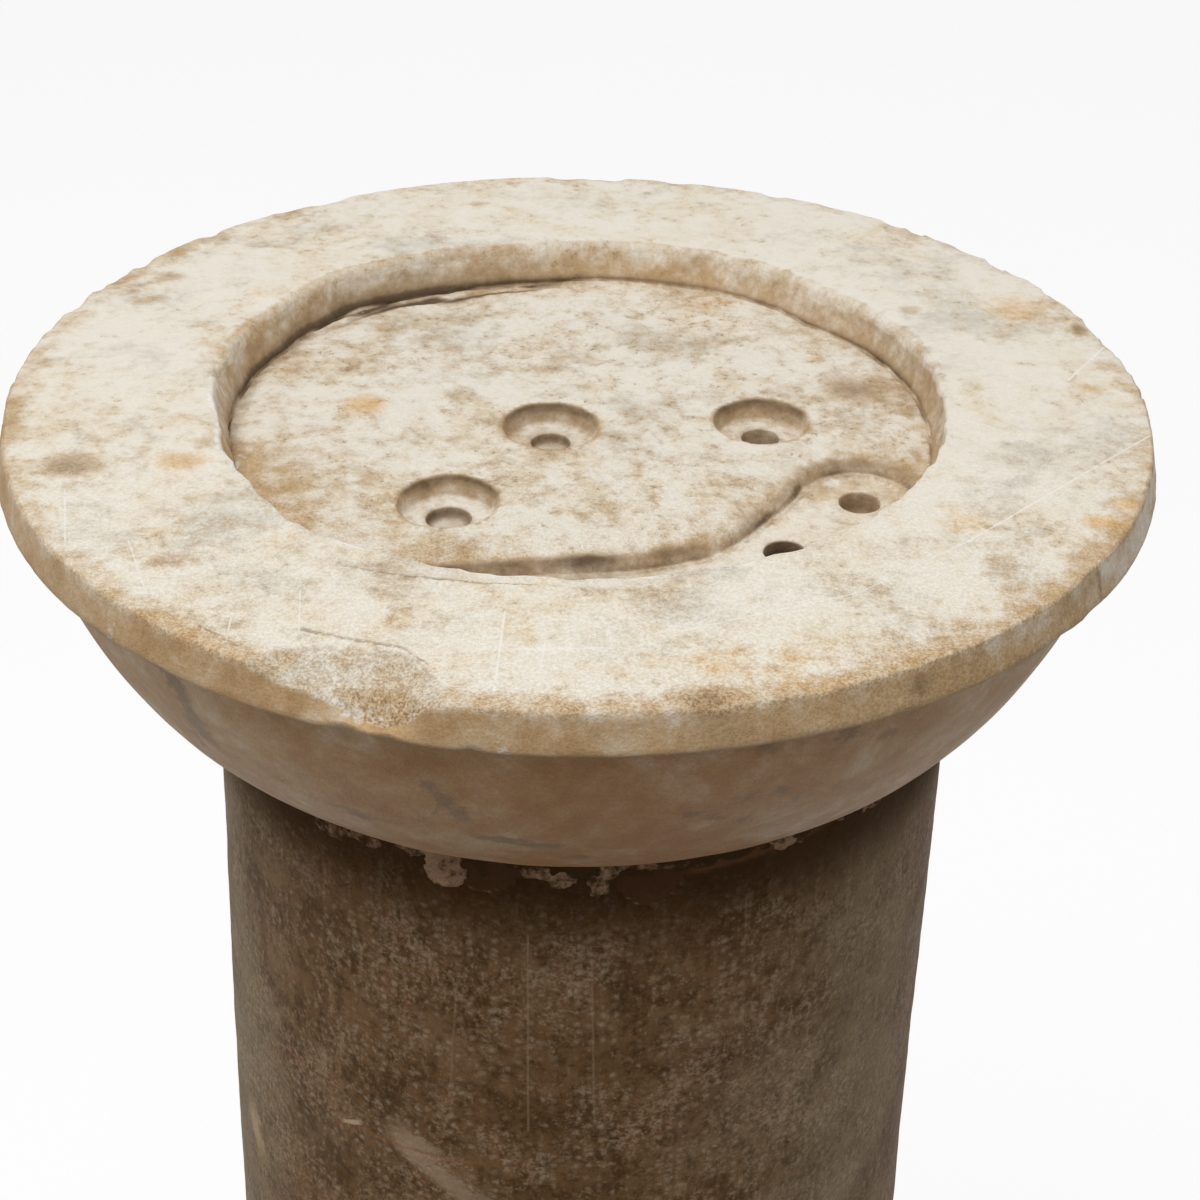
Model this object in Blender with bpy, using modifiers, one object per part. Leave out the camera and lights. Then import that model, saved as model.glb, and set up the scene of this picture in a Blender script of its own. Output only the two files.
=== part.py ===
# Round stone column: a turned marble capital, bedded in lime mortar on a dark stone shaft.
# Metres, +Z up. The origin is the centre of the underside, and the broken arris faces -Y.

import math

import bmesh
import bpy

# Shaft, turned from one block
SHAFT_HEIGHT = 0.952
SHAFT_TOP_RADIUS = 0.1311
SHAFT_FOOT_RADIUS = 0.155
SHAFT_TOP_EASING = 0.002          # rounding worn on the top arris
FOOT_FILLET_HEIGHT = 0.024        # plain band that the shaft stands on
FOOT_FILLET_PROJECTION = 0.009
FOOT_COVE_HEIGHT = 0.030          # hollow curve from the shaft out to the band
FOOT_ARRIS_EASING = 0.002

# Mortar bed
BED_THICKNESS = 0.0036
BED_SQUEEZE = 0.001               # the bed stands this far outside the shaft's top

# Capital
ABACUS_RADIUS = 0.192             # widest, near the lower arris
ABACUS_THICKNESS = 0.0138
ABACUS_BATTER = 0.0017            # the edge leans in by this much towards the top
ABACUS_TOP_EASING = 0.0026        # rounding worn on the top arris
ABACUS_LOWER_EASING = 0.0016
ABACUS_PROJECTION = 0.0105        # from the echinus out to the abacus edge
QUIRK_HEIGHT = 0.0016             # narrow step under the abacus
ECHINUS_HEIGHT = 0.0790
ECHINUS_FULLNESS = 1.54           # 1 is a straight slope, 2 is a quarter of an ellipse
ECHINUS_FOOT_OVERHANG = 0.0014    # outside the mortar bed

# Sunk bed in the top
RECESS_RADIUS = 0.1223            # at the rim
RECESS_BATTER = 0.0025            # the wall comes in by this much towards the floor
RECESS_DEPTH = 0.0138
WALL_LEDGE = 0.0007               # what the channel and the groove leave standing along the wall
CHANNEL_DEPTH = 0.0044            # below the floor of the sunk bed
CHANNEL_WIDTH = 0.0342
CHANNEL_START_DEG = -130.0
CHANNEL_END_DEG = -20.0
CHANNEL_START_RUN_DEG = 46.0      # over this angle the channel grows to its full width
CHANNEL_END_RUN_DEG = 6.0
GROOVE_DEPTH = 0.0034
GROOVE_WIDTH = 0.0052
GROOVE_START_DEG = 84.0
GROOVE_END_DEG = 204.0
GROOVE_RUN_DEG = 24.0

# Drilled holes: place as a share of the sunk bed's radius and an azimuth, then depth of the bore.
# The first three have a countersink, the fourth is set in a round seat, the fifth is plain.
COUNTERSINK_RADIUS = 0.0163
COUNTERSINK_BATTER = 0.0018
COUNTERSINK_DEPTH = 0.0066
SEAT_RADIUS = 0.0168
SEAT_DEPTH = 0.0008               # below the channel
WIDE_BORE = 0.0078                # radius, as below
BORE_RADIUS = 0.0067
HOLES = {
    "west": {"share": 0.568, "azimuth": -126.5, "bore": WIDE_BORE, "depth": 0.009, "set": "countersink"},
    "middle": {"share": 0.084, "azimuth": -160.0, "bore": BORE_RADIUS, "depth": 0.006, "set": "countersink"},
    "east": {"share": 0.507, "azimuth": 1.6, "bore": BORE_RADIUS, "depth": 0.014, "set": "countersink"},
    "south_east": {"share": 0.828, "azimuth": -25.8, "bore": BORE_RADIUS, "depth": 0.012, "set": "seat"},
    "south": {"share": 0.822, "azimuth": -50.1, "bore": BORE_RADIUS, "depth": 0.014, "set": "channel"},
}

# Broken places: each is a dish, with its radius on the face and its depth.
ARRIS_BREAK_OVERSHOOT = 0.005     # the dishes are centred this far outside the abacus
ARRIS_BREAKS = {
    "front": {"azimuth": -110.0, "radius": 0.0315, "depth": 0.0088},
    "right": {"azimuth": -38.5, "radius": 0.014, "depth": 0.0024},
    "back": {"azimuth": 13.0, "radius": 0.0125, "depth": 0.0026},
}
SHAFT_BREAKS = {
    "left": {"azimuth": -103.7, "radius": 0.015, "depth": 0.0042, "drop": 0.0},
    "right": {"azimuth": -80.5, "radius": 0.0145, "depth": 0.0036, "drop": 0.0035},
}

# Making
CLEARANCE = 0.0003                # between pieces that touch
CUT_OVERRUN = 0.006               # how far a cutter stands out of the face that it cuts
TURN_STEPS = 80
HOLE_STEPS = 24
CURVE_STEPS = 10                  # points along the echinus
EASING_STEPS = 3                  # points along a worn arris
COVE_STEPS = 5
CHANNEL_STEPS = 30
MERGE_DISTANCE = 0.00001

FOOT_RADIUS = SHAFT_FOOT_RADIUS + FOOT_FILLET_PROJECTION
BED_RADIUS = SHAFT_TOP_RADIUS + BED_SQUEEZE
BED_BOTTOM = SHAFT_HEIGHT + CLEARANCE
BED_TOP = BED_BOTTOM + BED_THICKNESS
CAPITAL_BOTTOM = BED_TOP + CLEARANCE
ECHINUS_TOP = CAPITAL_BOTTOM + ECHINUS_HEIGHT
ABACUS_BOTTOM = ECHINUS_TOP + QUIRK_HEIGHT
TOP = ABACUS_BOTTOM + ABACUS_THICKNESS
ECHINUS_TOP_RADIUS = ABACUS_RADIUS - ABACUS_PROJECTION
ECHINUS_FOOT_RADIUS = BED_RADIUS + ECHINUS_FOOT_OVERHANG
FLOOR = TOP - RECESS_DEPTH
CHANNEL_FLOOR = FLOOR - CHANNEL_DEPTH
FLOOR_RADIUS = RECESS_RADIUS - RECESS_BATTER
LEDGE_RADIUS = FLOOR_RADIUS - WALL_LEDGE


def clear_scene():
    for item in list(bpy.data.objects):
        bpy.data.objects.remove(item, do_unlink=True)


def new_collection(name):
    collection = bpy.data.collections.new(name)
    bpy.context.scene.collection.children.link(collection)
    return collection


def stone(name, colour, roughness):
    material = bpy.data.materials.new(name)
    material.use_nodes = True
    shader = material.node_tree.nodes["Principled BSDF"]
    shader.inputs["Base Color"].default_value = (*colour, 1.0)
    shader.inputs["Roughness"].default_value = roughness
    shader.inputs["Metallic"].default_value = 0.0
    return material


# Outlines

def arc(centre_r, centre_z, radius_r, radius_z, start_deg, end_deg, steps):
    """Points (r, z) along part of an ellipse, both ends included."""
    points = []
    for step in range(steps + 1):
        angle = math.radians(start_deg + (end_deg - start_deg) * step / steps)
        points.append((centre_r + radius_r * math.cos(angle), centre_z + radius_z * math.sin(angle)))
    return points


def echinus_profile():
    """The cushion's curve, from under the abacus down to the mortar bed."""
    reach = ECHINUS_TOP_RADIUS - ECHINUS_FOOT_RADIUS
    power = 2 / ECHINUS_FULLNESS
    points = []
    for step in range(CURVE_STEPS + 1):
        angle = math.pi / 2 * step / CURVE_STEPS
        points.append((ECHINUS_FOOT_RADIUS + reach * math.cos(angle) ** power,
                       ECHINUS_TOP - ECHINUS_HEIGHT * math.sin(angle) ** power))
    return points


def capital_profile():
    easing = ABACUS_TOP_EASING
    lower = ABACUS_LOWER_EASING
    top_radius = ABACUS_RADIUS - ABACUS_BATTER
    top_arris = arc(top_radius - easing, TOP - easing, easing, easing, 90, 0, EASING_STEPS)
    lower_arris = arc(ABACUS_RADIUS - lower, ABACUS_BOTTOM + lower, lower, lower, 0, -90, EASING_STEPS)
    quirk = [(ECHINUS_TOP_RADIUS, ABACUS_BOTTOM)]
    return [(0, TOP)] + top_arris + lower_arris + quirk + echinus_profile() + [(0, CAPITAL_BOTTOM)]


def bed_profile():
    half = BED_THICKNESS / 2
    edge = arc(BED_RADIUS - half, BED_BOTTOM + half, half, half, 90, -90, 2 * EASING_STEPS)
    return [(0, BED_TOP)] + edge + [(0, BED_BOTTOM)]


def shaft_profile():
    easing = SHAFT_TOP_EASING
    cove_top = FOOT_FILLET_HEIGHT + FOOT_COVE_HEIGHT
    top_arris = arc(SHAFT_TOP_RADIUS - easing, SHAFT_HEIGHT - easing, easing, easing, 90, 0, EASING_STEPS)
    cove = arc(FOOT_RADIUS, cove_top, FOOT_FILLET_PROJECTION, FOOT_COVE_HEIGHT, 180, 270, COVE_STEPS)
    foot = FOOT_ARRIS_EASING
    foot_arris = arc(FOOT_RADIUS - foot, foot, foot, foot, 0, -90, EASING_STEPS)
    return [(0, SHAFT_HEIGHT)] + top_arris + cove + foot_arris + [(0, 0)]


def ring_sector(outer, width, start_deg, end_deg, start_run_deg, end_run_deg):
    """A curved strip inside the radius outer, which grows from nothing to its width at each end."""
    span = end_deg - start_deg
    angles = [start_deg + span * step / CHANNEL_STEPS for step in range(CHANNEL_STEPS + 1)]
    outline = [(outer * math.cos(math.radians(a)), outer * math.sin(math.radians(a))) for a in angles]
    for angle in reversed(angles[1:-1]):
        growth = min(1.0, (angle - start_deg) / start_run_deg, (end_deg - angle) / end_run_deg)
        eased = math.sin(math.pi / 2 * growth)
        inner = outer - width * eased
        outline.append((inner * math.cos(math.radians(angle)), inner * math.sin(math.radians(angle))))
    return outline


# Shapes

def turned(name, profile, steps, collection):
    """A profile of (r, z) points at +X, turned once round Z."""
    mesh = bpy.data.meshes.new(name)
    edges = [(i, i + 1) for i in range(len(profile) - 1)]
    mesh.from_pydata([(r, 0, z) for r, z in profile], edges, [])
    item = bpy.data.objects.new(name, mesh)
    collection.objects.link(item)
    screw = item.modifiers.new("Turn", "SCREW")
    screw.axis = "Z"
    screw.steps = steps
    screw.render_steps = steps
    screw.use_merge_vertices = True
    screw.merge_threshold = MERGE_DISTANCE
    screw.use_smooth_shade = True
    return item


def as_cutter(item):
    item.display_type = "WIRE"
    item.hide_render = True
    return item


def flat_cutter(name, outline, z_low, z_high, collection):
    """A prism on a flat outline of (x, y) points."""
    curve = bpy.data.curves.new(name, "CURVE")
    curve.dimensions = "2D"
    curve.fill_mode = "BOTH"
    curve.extrude = (z_high - z_low) / 2
    spline = curve.splines.new("POLY")
    spline.points.add(len(outline) - 1)
    for point, (x, y) in zip(spline.points, outline):
        point.co = (x, y, 0.0, 1.0)
    spline.use_cyclic_u = True
    drawn = bpy.data.objects.new(name + "_outline", curve)
    drawn.location.z = (z_low + z_high) / 2
    collection.objects.link(drawn)

    bpy.context.view_layer.update()
    mesh = bpy.data.meshes.new_from_object(drawn.evaluated_get(bpy.context.evaluated_depsgraph_get()))
    shape = bmesh.new()
    shape.from_mesh(mesh)
    bmesh.ops.remove_doubles(shape, verts=shape.verts, dist=MERGE_DISTANCE)
    bmesh.ops.recalc_face_normals(shape, faces=shape.faces)
    shape.to_mesh(mesh)
    shape.free()
    item = bpy.data.objects.new(name, mesh)
    item.matrix_world = drawn.matrix_world
    collection.objects.link(item)
    bpy.data.objects.remove(drawn, do_unlink=True)
    return as_cutter(item)


def dish_cutter(name, centre, outward, radius, depth, collection):
    """A ball that takes a dish of this radius and depth out of a face whose normal is outward."""
    ball_radius = (radius ** 2 + depth ** 2) / (2 * depth)
    lift = ball_radius - depth
    mesh = bpy.data.meshes.new(name)
    shape = bmesh.new()
    bmesh.ops.create_icosphere(shape, subdivisions=4, radius=ball_radius)
    shape.to_mesh(mesh)
    shape.free()
    item = bpy.data.objects.new(name, mesh)
    item.location = [c + lift * n for c, n in zip(centre, outward)]
    collection.objects.link(item)
    return as_cutter(item)


def cut(item, cutter):
    boolean = item.modifiers.new(cutter.name, "BOOLEAN")
    boolean.operation = "DIFFERENCE"
    boolean.solver = "EXACT"
    boolean.object = cutter


# Cutters of the capital

def recess_cutter(collection):
    spread = RECESS_BATTER / RECESS_DEPTH * CUT_OVERRUN
    above = TOP + CUT_OVERRUN
    profile = [(0, above), (RECESS_RADIUS + spread, above), (FLOOR_RADIUS, FLOOR), (0, FLOOR)]
    return as_cutter(turned("recess", profile, TURN_STEPS, collection))


def channel_cutter(collection):
    outline = ring_sector(LEDGE_RADIUS, CHANNEL_WIDTH, CHANNEL_START_DEG, CHANNEL_END_DEG,
                          CHANNEL_START_RUN_DEG, CHANNEL_END_RUN_DEG)
    return flat_cutter("channel", outline, CHANNEL_FLOOR, FLOOR + CUT_OVERRUN, collection)


def groove_cutter(collection):
    outline = ring_sector(LEDGE_RADIUS, GROOVE_WIDTH, GROOVE_START_DEG, GROOVE_END_DEG,
                          GROOVE_RUN_DEG, GROOVE_RUN_DEG)
    return flat_cutter("groove", outline, FLOOR - GROOVE_DEPTH, FLOOR + CUT_OVERRUN, collection)


def hole_cutter(name, hole, collection):
    """One turned cutter for a bore and what it is set in."""
    if hole["set"] == "countersink":
        spread = COUNTERSINK_BATTER / COUNTERSINK_DEPTH * CUT_OVERRUN
        bottom = FLOOR - COUNTERSINK_DEPTH
        mouth = [(COUNTERSINK_RADIUS + spread, FLOOR + CUT_OVERRUN),
                 (COUNTERSINK_RADIUS - COUNTERSINK_BATTER, bottom), (hole["bore"], bottom)]
    elif hole["set"] == "seat":
        bottom = CHANNEL_FLOOR - SEAT_DEPTH
        mouth = [(SEAT_RADIUS, FLOOR + CUT_OVERRUN), (SEAT_RADIUS, bottom), (hole["bore"], bottom)]
    else:
        bottom = CHANNEL_FLOOR
        mouth = [(hole["bore"], bottom + CUT_OVERRUN)]
    end = bottom - hole["depth"]
    profile = [(0, mouth[0][1])] + mouth + [(hole["bore"], end), (0, end)]
    item = turned("hole_" + name, profile, HOLE_STEPS, collection)
    distance = RECESS_RADIUS * hole["share"]
    azimuth = math.radians(hole["azimuth"])
    item.location = (distance * math.cos(azimuth), distance * math.sin(azimuth), 0)
    return as_cutter(item)


def arris_break_cutter(name, chip, collection):
    distance = ABACUS_RADIUS + ARRIS_BREAK_OVERSHOOT
    azimuth = math.radians(chip["azimuth"])
    centre = (distance * math.cos(azimuth), distance * math.sin(azimuth), TOP)
    return dish_cutter("arris_break_" + name, centre, (0, 0, 1), chip["radius"], chip["depth"], collection)


# Pieces

def make_capital(parts, cutters):
    capital = turned("capital", capital_profile(), TURN_STEPS, parts)
    capital.data.materials.append(stone("white_marble", (0.74, 0.68, 0.57), 0.62))
    cut(capital, recess_cutter(cutters))
    cut(capital, channel_cutter(cutters))
    cut(capital, groove_cutter(cutters))
    for name, hole in HOLES.items():
        cut(capital, hole_cutter(name, hole, cutters))
    for name, chip in ARRIS_BREAKS.items():
        cut(capital, arris_break_cutter(name, chip, cutters))
    return capital


def make_bed(parts):
    bed = turned("bed_mortar", bed_profile(), TURN_STEPS, parts)
    bed.data.materials.append(stone("lime_mortar", (0.42, 0.35, 0.27), 0.95))
    return bed


def make_shaft(parts, cutters):
    shaft = turned("shaft", shaft_profile(), TURN_STEPS, parts)
    shaft.data.materials.append(stone("dark_stone", (0.085, 0.065, 0.045), 0.7))
    for name, chip in SHAFT_BREAKS.items():
        azimuth = math.radians(chip["azimuth"])
        outward = (math.cos(azimuth), math.sin(azimuth), 0)
        centre = [SHAFT_TOP_RADIUS * n for n in outward[:2]] + [SHAFT_HEIGHT - chip["drop"]]
        dish = dish_cutter("shaft_break_" + name, centre, outward, chip["radius"], chip["depth"], cutters)
        cut(shaft, dish)
    return shaft


def main():
    clear_scene()
    parts = new_collection("marble_column")
    cutters = new_collection("cutters")
    make_shaft(parts, cutters)
    make_bed(parts)
    make_capital(parts, cutters)


main()
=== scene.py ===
import math

import bpy
import numpy as np
from mathutils import Matrix, Vector
from mathutils.geometry import delaunay_2d_cdt


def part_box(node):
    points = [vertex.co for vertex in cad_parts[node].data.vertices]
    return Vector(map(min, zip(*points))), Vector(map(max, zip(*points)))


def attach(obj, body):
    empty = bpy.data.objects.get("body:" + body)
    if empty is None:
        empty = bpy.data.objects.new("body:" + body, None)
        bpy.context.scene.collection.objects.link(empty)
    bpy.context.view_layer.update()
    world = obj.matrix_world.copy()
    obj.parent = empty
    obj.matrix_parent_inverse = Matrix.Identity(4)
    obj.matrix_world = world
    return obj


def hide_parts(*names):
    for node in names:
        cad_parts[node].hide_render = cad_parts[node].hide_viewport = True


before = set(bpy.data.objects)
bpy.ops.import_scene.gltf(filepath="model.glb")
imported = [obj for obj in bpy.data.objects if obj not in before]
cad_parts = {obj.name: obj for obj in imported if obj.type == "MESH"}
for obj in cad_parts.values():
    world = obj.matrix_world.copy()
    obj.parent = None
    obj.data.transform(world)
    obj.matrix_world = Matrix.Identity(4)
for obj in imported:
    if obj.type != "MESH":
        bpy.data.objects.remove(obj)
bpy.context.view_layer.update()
print("frame loaded:", ", ".join(sorted(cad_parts)))

# Shapes are worked out in millimetres with z = 0 at the rim, x to the right and the broken arris towards -y.
mm = 0.001
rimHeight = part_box("capital")[1][2]
shaftTop = (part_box("shaft")[1][2] - rimHeight) / mm
ground = -rimHeight / mm


# Noise and small helpers

def cellNoise(points, size, seed):  # smooth random heights from -1 to 1, the same every run
    p = points / size + seed * 13.7
    cell = np.floor(p).astype(np.int64)
    f = p - cell
    f = f * f * f * (f * (f * 6 - 15) + 10)
    total = np.zeros(len(points))
    for corner in range(8):
        step = np.array([corner & 1, corner >> 1 & 1, corner >> 2])
        key = cell + step
        h = key[:, 0] * 73856093 ^ key[:, 1] * 19349663 ^ key[:, 2] * 83492791 ^ seed * 2654435
        h = (h ^ h >> 13) * 1274126177 & 0xFFFFFFFF
        h = (h ^ h >> 16) & 0xFFFF
        total += np.prod(np.where(step == 1, f, 1 - f), axis=1) * (h / 32767.5 - 1)
    return total


def layers(points, size, seed, count=3, fade=0.5):
    total = np.zeros(len(points))
    strength = 1.0
    for layer in range(count):
        total += strength * cellNoise(points, size, seed + layer)
        size *= 0.5
        strength *= fade
    return total


def flat(x, y):
    return np.column_stack([x, y, np.zeros_like(x)])


def cosSin(azimuth):
    return np.cos(np.radians(azimuth)), np.sin(np.radians(azimuth))


def ringAt(radius, azimuth, height=0.0):  # points round the axis
    c, s = cosSin(azimuth)
    return np.column_stack([radius * c, radius * s, height * np.ones_like(c)])


def ramp(value, low, high):  # 0 below low, 1 above high, smooth in between
    t = np.clip((value - low) / (high - low), 0, 1)
    return t * t * (3 - 2 * t)


def bell(value, width):  # 1 at nought, fading to both sides
    return np.exp(-(value / width) ** 2)


def turnBetween(angle, other):  # the shorter turn between two azimuths in degrees
    return (angle - other + 180) % 360 - 180


def nearTo(azimuth, at, spread):
    return bell(turnBetween(azimuth, at), spread)


def arcBetween(azimuth, at, radius):  # the same turn in mm round a circle
    return turnBetween(azimuth, at) * math.pi / 180 * radius


def wornBy(azimuth, places):  # places: azimuth, change in mm, spread in degrees
    return sum(change * nearTo(azimuth, at, spread) for at, change, spread in places)


def dish(x, y, at, reach, depth, turn=0.0, hollow=2.0, long=1.0):
    # A broken place: 0 at its edge, -depth in its middle. long stretches its left half.
    c, s = math.cos(math.radians(turn)), math.sin(math.radians(turn))
    u = ((x - at[0]) * c + (y - at[1]) * s) / reach[0]
    v = (-(x - at[0]) * s + (y - at[1]) * c) / reach[1]
    v = np.where(v < 0, v / long, v)
    away = np.hypot(u, v) + 0.07 * cellNoise(flat(x, y), 9, 15)
    return -depth * (1 - np.clip(away, 0, 4) ** hollow)


def polar(radius, azimuth):
    return radius * math.cos(math.radians(azimuth)), radius * math.sin(math.radians(azimuth))


# The marble capital

capital = {
    "columns": 600,
    "edgeRadius": 192.0,
    "batter": 2.5,
    "thickness": 13.8,
    "topEasing": 1.5,
    "lowerEasing": 1.6,
    "echinusTop": 181.5,
    "echinusFoot": 133.5,
    "quirk": 1.6,
    "echinusHeight": 79.0,
    "topRows": 36,
    "faceRows": 7,
    "fullness": 1.54,
    "swell": [(-128, 1.0, 42)],  # the cushion is fuller at the left
    "leaner": [(-36, -2.2, 34)],  # and leaner at the right, under the abacus
    "edgeWear": [(14, 2.0, 5), (33, 0.5, 8), (122, 1.0, 12), (150, 0.8, 9), (-37, 0.8, 2.5)],
    "lowerChips": [(-108.8, 2.6, 1.5), (-105.4, 1.6, 1.1), (-98.3, 1.5, 0.7), (-62, 0.9, 1.2),
                   (-43.5, 1.4, 1.6), (-130, 0.8, 1.2), (20, 1.6, 1.5), (77, 1.2, 1.3), (160, 1.5, 1.8)],
}

sunkBed = {
    "rimRadius": 122.8,
    "rimEasing": 1.9,
    "footInset": 3.2,
    "footRows": (9.4, 8.6, 7.9, 7.2, 6.5, 5.8, 5.1, 4.4, 3.8, 3.2, 2.6, 2.0, 1.5, 1.1, 0.7, 0.4, 0.0),
    "depth": 13.8,
    "rimWear": [(137, 3.2, 13), (101, -2.6, 12), (40, -3.0, 9), (-131, 3.0, 9), (-167, -2.0, 10),
                (-97, -1.6, 5), (70, 0.8, 7)],
    "grooveDepth": 0.8,
    "grooveWidth": 8.0,
    "grooveWiden": 7.0,
    "grooveFrom": 84.0,
    "grooveTo": 206.0,
    "grooveRun": 22.0,
    "channelDepth": 4.4,
    "channelEdge": 87.2,
    "channelSpread": 8.0,  # it widens towards the seat
    "channelFrom": -130.0,
    "channelTo": -20.0,
    "channelStartRun": 46.0,
    "channelEndRun": 6.0,
    "shoulder": 3.0,
    "wallRows": 9,
    "wallCove": 1.2,
}

# Each hole: where, bore, depth of the bore, what the bore is set in, and how dark the bore is painted with
# grime and painted shade.
holes = {
    "west": {"at": (-41.3, -55.8), "bore": 7.3, "deep": 3.6, "sink": 6.0, "grimeAndShade": 0.62},
    "middle": {"at": (-9.7, -3.5), "bore": 6.7, "deep": 3.4, "sink": 6.2, "grimeAndShade": 0.62},
    "east": {"at": (62.0, 1.7), "bore": 6.5, "deep": 9.0, "sink": 6.2, "grimeAndShade": 0.42},
    "southEast": {"at": (91.2, -44.1), "bore": 6.7, "deep": 8.0, "sink": 0, "grimeAndShade": 0.22},
    "south": {"at": (64.5, -77.1), "bore": 6.7, "deep": 14.0, "sink": 0, "grimeAndShade": 0.6},
}
sinkRadius = 16.2
sinkBatter = 1.8
brinkWidth = 0.6
holeColumns = 48
seat = {"at": holes["southEast"]["at"], "radius": 16.8, "depth": 0.8, "slope": 4.8}

bigBreak = [
    {"at": polar(196.0, -107.0), "reach": (26.5, 23.0), "depth": 9.6, "turn": -107.0, "hollow": 1.0,
     "long": 1.85},
    {"at": polar(190.5, -106.2), "reach": (9.5, 15.0), "depth": 9.6, "turn": -106.2, "hollow": 2.6},
]
breakRoughness = (0.6, 1.6)


def scatterChips(count, radius, sizes, depths, seed):
    rng = np.random.default_rng(seed)
    chips = []
    for _ in range(count):
        azimuth = rng.uniform(0, 360)
        reach = rng.uniform(*sizes)
        chips.append({"at": polar(radius + rng.uniform(0.0, 0.6) * reach, azimuth), "turn": azimuth,
                      "reach": (reach * rng.uniform(0.6, 0.9), reach * rng.uniform(0.9, 1.8)),
                      "depth": rng.uniform(*depths)})
    return chips


edgeChips = scatterChips(60, 189.5, (2.2, 8.0), (0.5, 1.8), 11)
rimChips = scatterChips(84, 122.0, (1.8, 6.0), (0.6, 2.2), 12)
for chip in rimChips:
    x, y = chip["at"]
    pull = 119.0 / math.hypot(x, y)  # these sit on the inner side of the rim
    chip["at"] = (x * pull, y * pull)


def azimuthOf(x, y):
    return np.degrees(np.arctan2(y, x))


def farSide(azimuth):  # 1 behind the sunk bed, where the rim is worn rounder, 0 in front of it
    return ramp(np.sin(np.radians(azimuth)), -0.25, 0.35)


def wallRadiusAt(azimuth):
    ragged = 0.75 * (0.65 + 0.35 * farSide(azimuth)) * cellNoise(ringAt(60, azimuth), 8, 21)
    return sunkBed["rimRadius"] + wornBy(azimuth, sunkBed["rimWear"]) + ragged


def rimRadiusAt(azimuth):  # the rim is more ragged than the wall under it
    ring = ringAt(60, azimuth)
    crumbled = 1.2 * np.abs(cellNoise(ring, 4.6, 23))
    return wallRadiusAt(azimuth) + 0.9 * cellNoise(ring, 2.7, 22) + crumbled - 0.4


def edgeLossAt(azimuth):
    ring = ringAt(95, azimuth)
    return (np.maximum(wornBy(azimuth, capital["edgeWear"]), 0)
            + 0.40 * np.abs(cellNoise(ring, 8, 31)) + 0.35 * np.abs(cellNoise(ring, 3.2, 32)))


def topHeight(x, y):
    p = flat(x, y)
    azimuth = azimuthOf(x, y)
    h = -0.14 + 0.16 * layers(p, 85, 41, 2) + 0.06 * layers(p, 7, 43, 2)
    radius = np.hypot(x, y)
    outer = ramp(radius, 172, 188)
    h -= outer * (0.16 + 0.25 * cellNoise(p, 26, 44)) * (1 - 0.8 * farSide(azimuth))
    rim = ramp(-radius, -129, -122)
    h -= rim * (0.12 + 0.12 * cellNoise(p, 9, 45)) * (1 + 2.0 * farSide(azimuth))
    for chip in edgeChips + rimChips:
        near = np.hypot(x - chip["at"][0], y - chip["at"][1]) < 2 * max(chip["reach"])
        if near.any():
            cut = dish(x[near], y[near], chip["at"], chip["reach"], chip["depth"], chip["turn"])
            h[near] = np.minimum(h[near], cut + 0.12 * cellNoise(p[near], 2.5, 46))
    for oneBreak, rough in zip(bigBreak, breakRoughness):
        crumbled = 0.6 * layers(p, 14, 47, 2) + rough * 0.55 * layers(p, 4.5, 49, 2)
        h = np.minimum(h, dish(x, y, **oneBreak) + crumbled)
    ridge = (radius - 125.5 - 1.6 * np.cos(np.radians(azimuth + 92) * 7)) / 0.9
    along = nearTo(azimuth, -98, 22)
    h -= 0.5 * along * ramp(-ridge, -1, 1) * (radius < 130)
    return np.minimum(h, 0)


def channelReach(x, y):  # how far a point is inside the lowered channel's shoulder, in mm
    azimuth = azimuthOf(x, y)
    radius = np.hypot(x, y)
    growth = np.minimum((azimuth - sunkBed["channelFrom"]) / sunkBed["channelStartRun"],
                        (sunkBed["channelTo"] - azimuth) / sunkBed["channelEndRun"])
    eased = np.sin(np.pi / 2 * np.clip(growth, 0, 1))
    wall = sunkBed["rimRadius"] - sunkBed["footInset"]
    edge = sunkBed["channelEdge"] - sunkBed["channelSpread"] * ramp(azimuth, -68, -36)
    inner = wall - (wall - edge) * eased
    wander = 0.7 * cellNoise(flat(x, y), 13, 51) + 0.35 * cellNoise(flat(x, y), 4.5, 52)
    reach = np.where(growth > 0, radius - inner, -20.0) + wander
    inSeat = seat["radius"] + seat["slope"] - np.hypot(x - seat["at"][0], y - seat["at"][1]) + 0.4 * wander
    blend = 5.0  # the two hollows run into each other over this many mm
    share = np.clip(0.5 + 0.5 * (reach - inSeat) / blend, 0, 1)
    return inSeat * (1 - share) + reach * share + blend * share * (1 - share)


def footInward(x, y):  # distance from the foot of the wall, in mm
    return wallRadiusAt(azimuthOf(x, y)) - sunkBed["footInset"] - np.hypot(x, y)


def creviceAt(x, y):  # a crevice at the wall's foot, which floorPaint paints dark as painted shade
    azimuth = azimuthOf(x, y)
    inward = footInward(x, y) + 0.35 * cellNoise(flat(x, y), 6, 68)
    behind = ramp(-np.abs(turnBetween(azimuth, 92)), -118, -96)
    return behind * bell(inward - 0.5, 0.7) * (0.25 + 0.9 * np.abs(cellNoise(flat(x, y), 14, 69)))


def grooveAt(x, y):  # 1 in the bottom of the groove along the wall, 0 outside it
    azimuth = azimuthOf(x, y) % 360
    toEnd = np.minimum(azimuth - sunkBed["grooveFrom"], sunkBed["grooveTo"] - azimuth)
    inward = footInward(x, y)
    wander = cellNoise(flat(x, y), 16, 53)
    width = sunkBed["grooveWidth"] + sunkBed["grooveWiden"] * nearTo(azimuth, 116, 22)
    growth = np.clip(toEnd / sunkBed["grooveRun"], 0, 1)
    return growth * (1 - ramp(inward, 0.3 * width, width * (1 + 0.3 * wander)))


def chiselledAt(azimuth, radius):  # -1 to 1 in long streaks round the axis
    return cellNoise(np.column_stack([azimuth * 0.45, radius * 1.7, np.zeros_like(radius)]), 4, 76)


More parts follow.
